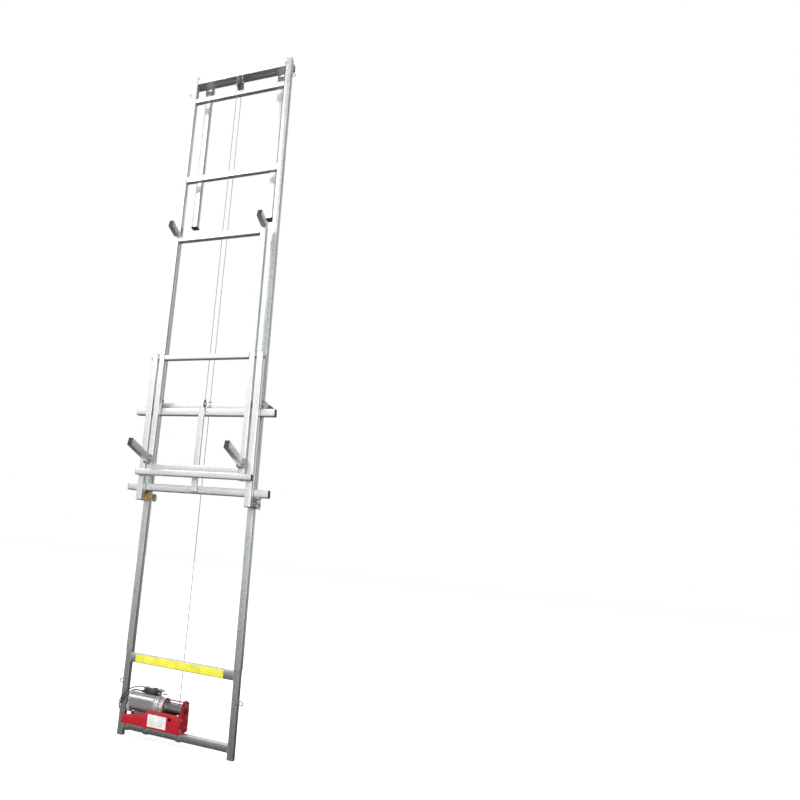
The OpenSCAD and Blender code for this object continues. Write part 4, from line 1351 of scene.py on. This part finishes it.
# joint of the two lengths of each rail: a fine seam and the bolts of the inner sleeve
def makeRailJoints():
    bm, seam = bmesh.new(), bmesh.new()
    for s in (-1, 1):
        for z in (2.385, 2.425, 2.505, 2.545):
            addBolt(bm, (s * 0.360, 0, z), (s, 0, 0), 0.010, 0.0032, washer=False)
        addTube(seam, (s * 0.340 - 0.02008, -0.02008, 2.4642), (s * 0.340 + 0.02008, 0.02008, 2.4652), 2,
                0.0042, 0.0012)
        addTube(seam, (s * 0.340 - 0.02008, -0.02008, 0.4551), (s * 0.340 + 0.02008, 0.02008, 0.4561), 2,
                0.0042, 0.0012)
    makePiece("railJointBolts", bm, "mast", finishes["zinc"])
    makePiece("railJointSeams", seam, "mast", finishes["darkSteel"])


makeRailJoints()
print("tray hardware and rail joints made")

# ---- finishes of the CAD nodes that stay ----
cadFinishes = {
    "drum": ("zinc", "wire_rope"), "drum_shaft": ("darkSteel", "dark_steel"),
    "pulley_bracket": ("zinc", "zinc_hardware"), "rail_splices": ("railZ", "galvanised_tube"),
}
for node, piece in frame["nodes"].items():
    finish = cadFinishes.get(node, ("zinc", ""))[0]
    piece.data.materials.clear()
    piece.data.materials.append(finishes[finish])

# ---- studio ----
studio = {
    "floor": (0.93, 0.93, 0.925), "floorGlow": 0.52, "back": 1.0, "front": 0.84, "flag": 0.14, "below": 0.02,
    "key": 125, "fill": 50, "top": 45,
}


# the studio is white, with a grey flag on the right that shades the tubes' right sides
def addBackdrop(s):
    world = bpy.data.worlds.new("studioWorld")
    scene.world = world
    world.use_nodes = True
    tree = world.node_tree
    backdrop = tree.nodes["Background"]

    def vectorStep(operation, source, second=None):
        made = tree.nodes.new("ShaderNodeVectorMath")
        made.operation = operation
        tree.links.new(source, made.inputs[0])
        if second:
            made.inputs[1].default_value = second
        return made

    def share(source, fromLow, fromHigh, low, high):
        made = tree.nodes.new("ShaderNodeMapRange")
        made.interpolation_type = "SMOOTHSTEP"
        for key, value in (("From Min", fromLow), ("From Max", fromHigh), ("To Min", low), ("To Max", high)):
            made.inputs[key].default_value = value
        tree.links.new(source, made.inputs["Value"])
        return made.outputs["Result"]

    def product(a, b):
        made = tree.nodes.new("ShaderNodeMath")
        made.operation = "MULTIPLY"
        tree.links.new(a, made.inputs[0])
        tree.links.new(b, made.inputs[1])
        return made.outputs["Value"]

    place = tree.nodes.new("ShaderNodeTexCoord").outputs["Generated"]
    level = vectorStep("NORMALIZE", vectorStep("MULTIPLY", place,
                                               (1, 1, 0)).outputs["Vector"]).outputs["Vector"]
    flag = share(vectorStep("DOT_PRODUCT", level, (0.848, 0.530, 0)).outputs["Value"], 0.80, 0.88, 1.0,
                 s["flag"])
    front = share(vectorStep("DOT_PRODUCT", level, (0, -1, 0)).outputs["Value"], 0.1, 0.8, s["back"],
                  s["front"])
    below = share(vectorStep("DOT_PRODUCT", place, (0, 0, 1)).outputs["Value"], -0.20, 0.0, s["below"], 1.0)
    tree.links.new(product(product(flag, front), below), backdrop.inputs["Strength"])
    backdrop.inputs["Color"].default_value = (1, 1, 1, 1)


def buildStudio(s):
    part = bmesh.new()
    bmesh.ops.create_grid(part, x_segments=2, y_segments=2, size=60)
    bmesh.ops.translate(part, vec=(0, 0, -0.0006), verts=part.verts)
    mesh = bpy.data.meshes.new("studioFloor")
    part.to_mesh(mesh)
    part.free()
    paint = Finish("floorPaint", s["floor"], 0.0, 0.75)
    paint.surface.inputs["Emission Color"].default_value = (1, 1, 1, 1)
    paint.surface.inputs["Emission Strength"].default_value = s["floorGlow"]
    mesh.materials.append(paint.material)
    floor = bpy.data.objects.new("studioFloor", mesh)
    scene.collection.objects.link(floor)
    floor.visible_glossy = False
    addBackdrop(s)
    addSoftLight("keyLight", (-3.4, -4.6, 6.2), (0, 0, 2.0), 3.2, s["key"])
    addSoftLight("fillLight", (1.2, -6.5, 2.4), (0, 0, 1.6), 3.0, s["fill"])
    addSoftLight("topLight", (0.0, -1.0, 8.5), (0, 0, 2.5), 3.5, s["top"])


buildStudio(studio)
scene.view_settings.view_transform = "Standard"
print("studio lit")
